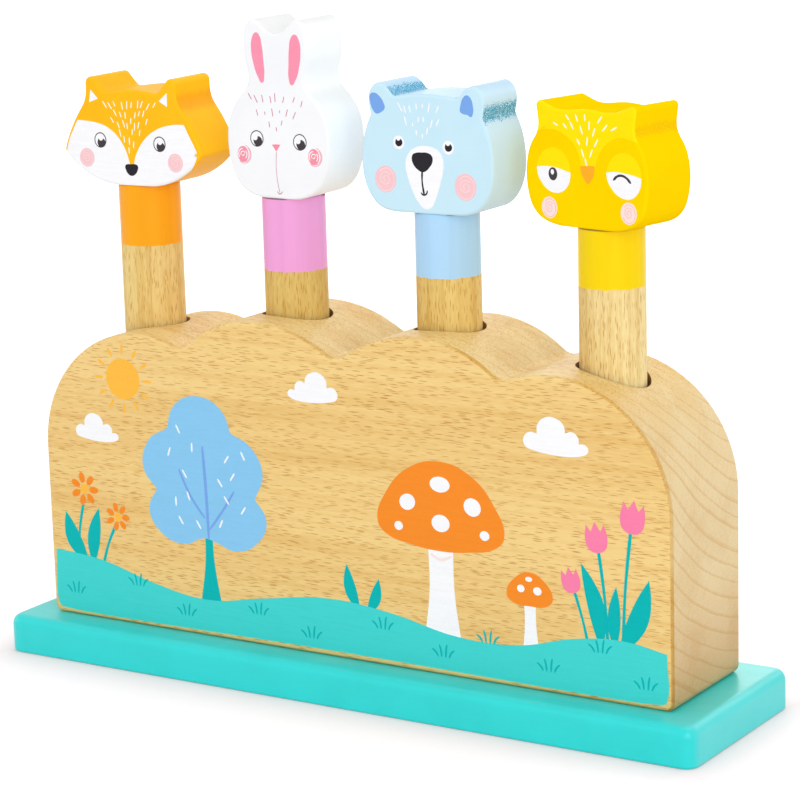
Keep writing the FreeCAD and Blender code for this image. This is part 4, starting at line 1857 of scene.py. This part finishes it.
    def sky(self) -> list[Film]:
        """The sun with its rays, and the clouds.

        Returns:
            The films from the lowest up.
        """
        x, z, radius = self.sun
        shining = [oval(x, z, radius, radius)]
        for degrees in range(0, 360, self.RAY_STEP):
            a = math.radians(degrees)
            shining.append(tick(x + math.sin(a) * (radius + 3.6), z + math.cos(a) * (radius + 3.6),
                                3.4, degrees, 1.1))
        clouds = [self.CLOUD.moved(*place) for place in self.clouds]
        return [Film("sun", Ink.SUN, shining), Film("clouds", Ink.WHITE, clouds)]

    def turf(self) -> list[Film]:
        """The ground and its grass.

        Returns:
            The films from the lowest up.
        """
        side, foot = self.ground_side, self.ground_foot
        ground = shape((-side, foot + 1.6), (-side + 1.6, foot), (0, foot), (side - 1.6, foot),
                       (side, foot + 1.6), (side, 36.0, "c"), (118, 38.5), (98, 36.5),
                       (76, 31.0), (50, 30.5), (22, 35.5), (-6, 37.5), (-36, 33.5),
                       (-62, 29.5), (-88, 33.0), (-112, 39.0), (-side, 41.0, "c"))
        tufts = [blade for place in self.tufts for blade in self.tuft(place)]
        return [Film("ground", Ink.TURQUOISE, [ground], 2), Film("tufts", Ink.TEAL, tufts, 3)]

    def build(self) -> None:
        """Prints the picture on the block, film by film."""
        place = face_place(0, 0, 0, 0, BLOCK_FRONT)
        for films in (self.plants(), self.tree(), self.toadstools(), self.blossoms(), self.sky(),
                      self.turf()):
            for film in films:
                printed = film.build(place, "meadow")
                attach(printed, "block")
        LOG.info("meadow printed")


@dataclass(frozen=True)
class Stand:
    """The base board, the hill block and the screws that hold them together.

    Attributes:
        board: The board's paint, with a painted sheen on its sides and top.
        block: The block's wood.
        picture: What is printed on the front of the block.
    """

    # The board's side tint is a painted sheen: whiter on its sides and top.
    board: Paint = Paint("paint_turquoise", (0.005, 0.670, 0.660), (0.002, 0.590, 0.570),
                         side=(11.0, 1.0, 1.0), roughness=0.33, gloss=0.54, relief=0.05)
    block: BlockTimber = BlockTimber("wood_block", Grain.ALONG_X, (64.6, 172.8), ring=6.0)
    picture: Meadow = Meadow()

    def build(self, nodes: Nodes, shared: Finishes) -> None:
        """Dresses the three nodes and prints the picture.

        Args:
            nodes: The CAD nodes.
            shared: Finishes that are used elsewhere too.
        """
        dress(nodes["base_board"], self.board.make())
        dress(nodes["hill_block"], self.block.make())
        dress(nodes["base_screws"], shared["zinc"])
        self.picture.build()
        LOG.info("stand dressed")


# ---------------------------------------------------------------- studio
def seen_plainly(tree: bpy.types.NodeTree) -> Socket:
    """Tells how a floor or a world is seen.

    Args:
        tree: The nodes of its material.

    Returns:
        1 for rays from the camera, in a reflection or through glass, else 0.
    """
    path = tree.nodes.new("ShaderNodeLightPath")
    total = path.outputs["Is Camera Ray"]
    for name in ("Is Glossy Ray", "Is Transmission Ray"):
        either = tree.nodes.new("ShaderNodeMath")
        either.operation = "MAXIMUM"
        tree.links.new(total, either.inputs[0])
        tree.links.new(path.outputs[name], either.inputs[1])
        total = either.outputs[0]
    return total


@dataclass(frozen=True)
class Lamp:
    """A round soft lamp that looks at the toy.

    Attributes:
        name: Its name.
        place: Where it hangs, in metres.
        size: Its diameter, in metres.
        power: Its power, in watts.
    """

    name: str
    place: Place
    size: float
    power: float

    AIM: ClassVar[Place] = (0.0, 0.0, 0.12)

    def build(self) -> None:
        """Makes the lamp and points it."""
        data = bpy.data.lights.new(self.name, "AREA")
        data.shape = "DISK"
        data.size = self.size
        data.energy = self.power
        lamp = bpy.data.objects.new(self.name, data)
        bpy.context.scene.collection.objects.link(lamp)
        aim = Vector(self.AIM) - Vector(self.place)
        lamp.matrix_world = (Matrix.Translation(self.place)
                             @ aim.to_track_quat("-Z", "Y").to_matrix().to_4x4())
        LOG.info("%s hung", self.name)


@dataclass(frozen=True)
class Studio:
    """The pale floor with a shadow painted beside the board, the soft lamps and the camera.

    Attributes:
        camera_place: Where the camera stands, in metres.
        camera_pitch: Degrees up from looking straight down.
        camera_yaw: Degrees about the upright axis.
        camera_roll: Degrees about the line of sight.
        camera_lens: Focal length, in millimetres.
        camera_sensor: Width of its picture, in millimetres.
        lamps: The lamps.
        world_level: Strength of the light from all round.
        floor_size: Metres from side to side.
        floor_tone: Its colour.
        floor_glow_and_shadow: What the floor adds for the camera alone: beside the board, lower and
            reddish to paint a neutral shadow; a few centimetres from it; and far off.
        shadow_reach: Millimetres from the board at which the second glow is reached, the width of
            the painted shadow.
        glow_far: Millimetres from the board between which the third glow comes up.
    """

    camera_place: Place = (0.57517, -0.88590, 0.34311)
    camera_pitch: float = 77.470
    camera_yaw: float = 32.487
    camera_roll: float = -1.6215
    camera_lens: float = 129.949
    camera_sensor: float = 36.0
    lamps: tuple[Lamp, ...] = (
        Lamp("key_lamp", (-0.65, -1.75, 1.25), 1.0, 1.9),
        Lamp("rim_lamp", (-0.72, 1.77, 0.67), 1.0, 4.0),
        Lamp("fill_lamp", (-1.75, -0.55, 0.65), 1.0, 3.4),
        Lamp("side_lamp", (1.35, -1.35, 0.75), 1.4, 12.4),
        Lamp("back_lamp", (0.45, 1.65, 1.05), 1.0, 3.0),
        Lamp("top_lamp", (0.2, 0.2, 1.9), 1.4, 4.9))
    world_level: float = 0.76
    floor_size: float = 14.0
    floor_tone: Colour = (0.82, 0.82, 0.82)
    floor_glow_and_shadow: tuple[Colour, Colour, Colour] = ((0.15, 0.03, 0.035), (0.30, 0.25, 0.29),
                                                 (0.62, 0.62, 0.62))
    shadow_reach: float = 31.0
    glow_far: Point = (150.0, 1100.0)

    def camera(self) -> None:
        """Makes the camera and hands it to the scene."""
        data = bpy.data.cameras.new("camera")
        data.lens = self.camera_lens
        data.sensor_width = self.camera_sensor
        data.clip_start, data.clip_end = 0.01, 100.0
        camera = bpy.data.objects.new("camera", data)
        bpy.context.scene.collection.objects.link(camera)
        turn = (Matrix.Rotation(math.radians(self.camera_yaw), 4, "Z")
                @ Matrix.Rotation(math.radians(self.camera_pitch), 4, "X")
                @ Matrix.Rotation(math.radians(self.camera_roll), 4, "Z"))
        camera.matrix_world = Matrix.Translation(self.camera_place) @ turn
        bpy.context.scene.camera = camera

    def floor(self) -> None:
        """Lays a white floor that keeps the toy's shadow, with a neutral shadow painted beside the
        board.
        """
        deselect()
        bpy.ops.mesh.primitive_plane_add(size=self.floor_size)
        floor = bpy.context.object
        floor.name = "floor"
        g = Graph("pale_floor")
        # Painted shadow: the glow is lower beside the board, and lowest in green and blue against
        # the board's cyan bounce light.
        beside = [g.maths("MAXIMUM", g.minus(g.maths("ABSOLUTE", value), half), 0.0)
                  for value, half in zip(g.place, BOARD_HALF)]
        apart = g.reach(*beside)
        clear = g.maths("POWER", g.between(apart, 0.0, self.shadow_reach), 0.5)
        glow = g.mix(clear, self.floor_glow_and_shadow[0], self.floor_glow_and_shadow[1])
        glow = g.mix(g.between(apart, *self.glow_far), glow, self.floor_glow_and_shadow[2])
        g.put(glow, g.shader.inputs["Emission Color"])
        g.put(seen_plainly(g.tree), g.shader.inputs["Emission Strength"])
        dress(floor, g.finish(self.floor_tone, 0.7, 0.2))

    def world(self) -> None:
        """Sets a world that looks white and lights plainly."""
        world = bpy.data.worlds.new("pale_world")
        bpy.context.scene.world = world
        world.use_nodes = True
        tree = world.node_tree
        background = tree.nodes["Background"]
        background.inputs["Color"].default_value = (1, 1, 1, 1)
        level = tree.nodes.new("ShaderNodeMapRange")
        tree.links.new(seen_plainly(tree), level.inputs["Value"])
        level.inputs["To Min"].default_value = self.world_level
        level.inputs["To Max"].default_value = 1.0
        tree.links.new(level.outputs[0], background.inputs["Strength"])

    def build(self) -> None:
        """Sets up camera, floor, lamps and world."""
        self.camera()
        self.floor()
        for lamp in self.lamps:
            lamp.build()
        self.world()
        LOG.info("studio built")


def animals() -> list[Animal]:
    """The four animals from left to right.

    Returns:
        The animals.
    """
    # The side and top tints of each head's paint are painted light, for how the light falls on its
    # sides and crown.
    fox = Animal(
        "fox", 0, peg_top=186.0, turn=3.0, shift=1.3, slot="head_orange",
        band_foot=162.4, band_colour=(0.960, 0.390, 0.012), face=FoxFace(),
        head=Paint("paint_orange", (0.970, 0.520, 0.012), (0.930, 0.440, 0.008),
                   side=(1.0, 0.97, 0.25),
                   smudges=(Smudge((21.6, 32.0), 5.0, (0.86, 0.28, 0.005), 0.5),)),
        tone=(0.96, 0.97, 0.74))
    rabbit = Animal(
        "rabbit", 1, peg_top=184.8, turn=0.5, shift=2.1, slot="head_white",
        band_foot=156.9, band_colour=(0.860, 0.370, 0.700), face=RabbitFace(),
        head=Paint("paint_white", (0.900, 0.905, 0.930), (0.840, 0.850, 0.880),
                   side=(1.09, 1.10, 1.06), top=0.82),
        pith=(-25.0, 50.0), tone=(0.85, 0.82, 0.52))
    blue = (0.020, 0.32, 0.52)
    bear = Animal(
        "bear", 2, peg_top=182.9, turn=0.6, shift=-0.8, slot="head_blue",
        band_foot=159.2, band_colour=(0.430, 0.685, 0.930), face=BearFace(),
        head=Paint("paint_pale_blue", (0.570, 0.790, 0.900), (0.520, 0.750, 0.870),
                   side=(1.07, 1.05, 1.12), top=0.85,
                   smudges=(Smudge((23.6, 36.6), 4.4, blue, 0.95, True),
                            Smudge((15.0, 42.6), 3.8, blue, 0.95, True))),
        pith=(40.0, 20.0), tone=(0.92, 0.91, 0.62))
    owl = Animal(
        "owl", 3, peg_top=181.4, turn=-10.5, shift=-1.4, slot="head_yellow",
        band_foot=160.0, band_colour=(0.930, 0.660, 0.003), face=OwlFace(),
        head=Paint("paint_yellow", (0.985, 0.660, 0.001), (0.960, 0.600, 0.001),
                   side=(1.0, 0.97, 1.0), gloss=0.0,
                   smudges=(Smudge((21.8, 35.2), 2.8, (0.62, 0.30, 0.01), 0.30, True),)),
        pith=(-35.0, 35.0), tone=(1.02, 1.10, 1.02))
    return [fox, rabbit, bear, owl]


def main() -> None:
    """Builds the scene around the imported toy."""
    logging.basicConfig(level=logging.INFO, format="%(message)s")
    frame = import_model()
    nodes = frame["nodes"]
    shared = {
        "zinc": Steel("steel_zinc", (0.60, 0.60, 0.58), 0.36).make(),
        "wire": Steel("steel_wire", (0.50, 0.50, 0.51), 0.28, 0.8).make(),
        "dowel": Timber("wood_dowel", Grain.ALONG_Z, (20.0, 30.0), ring=3.0).make(),
    }
    Stand().build(nodes, shared)
    for animal in animals():
        animal.build(nodes, shared)
    Studio().build()
    bpy.context.scene.view_settings.view_transform = "Standard"
    LOG.info("scene built")


if __name__ == "__main__":
    main()
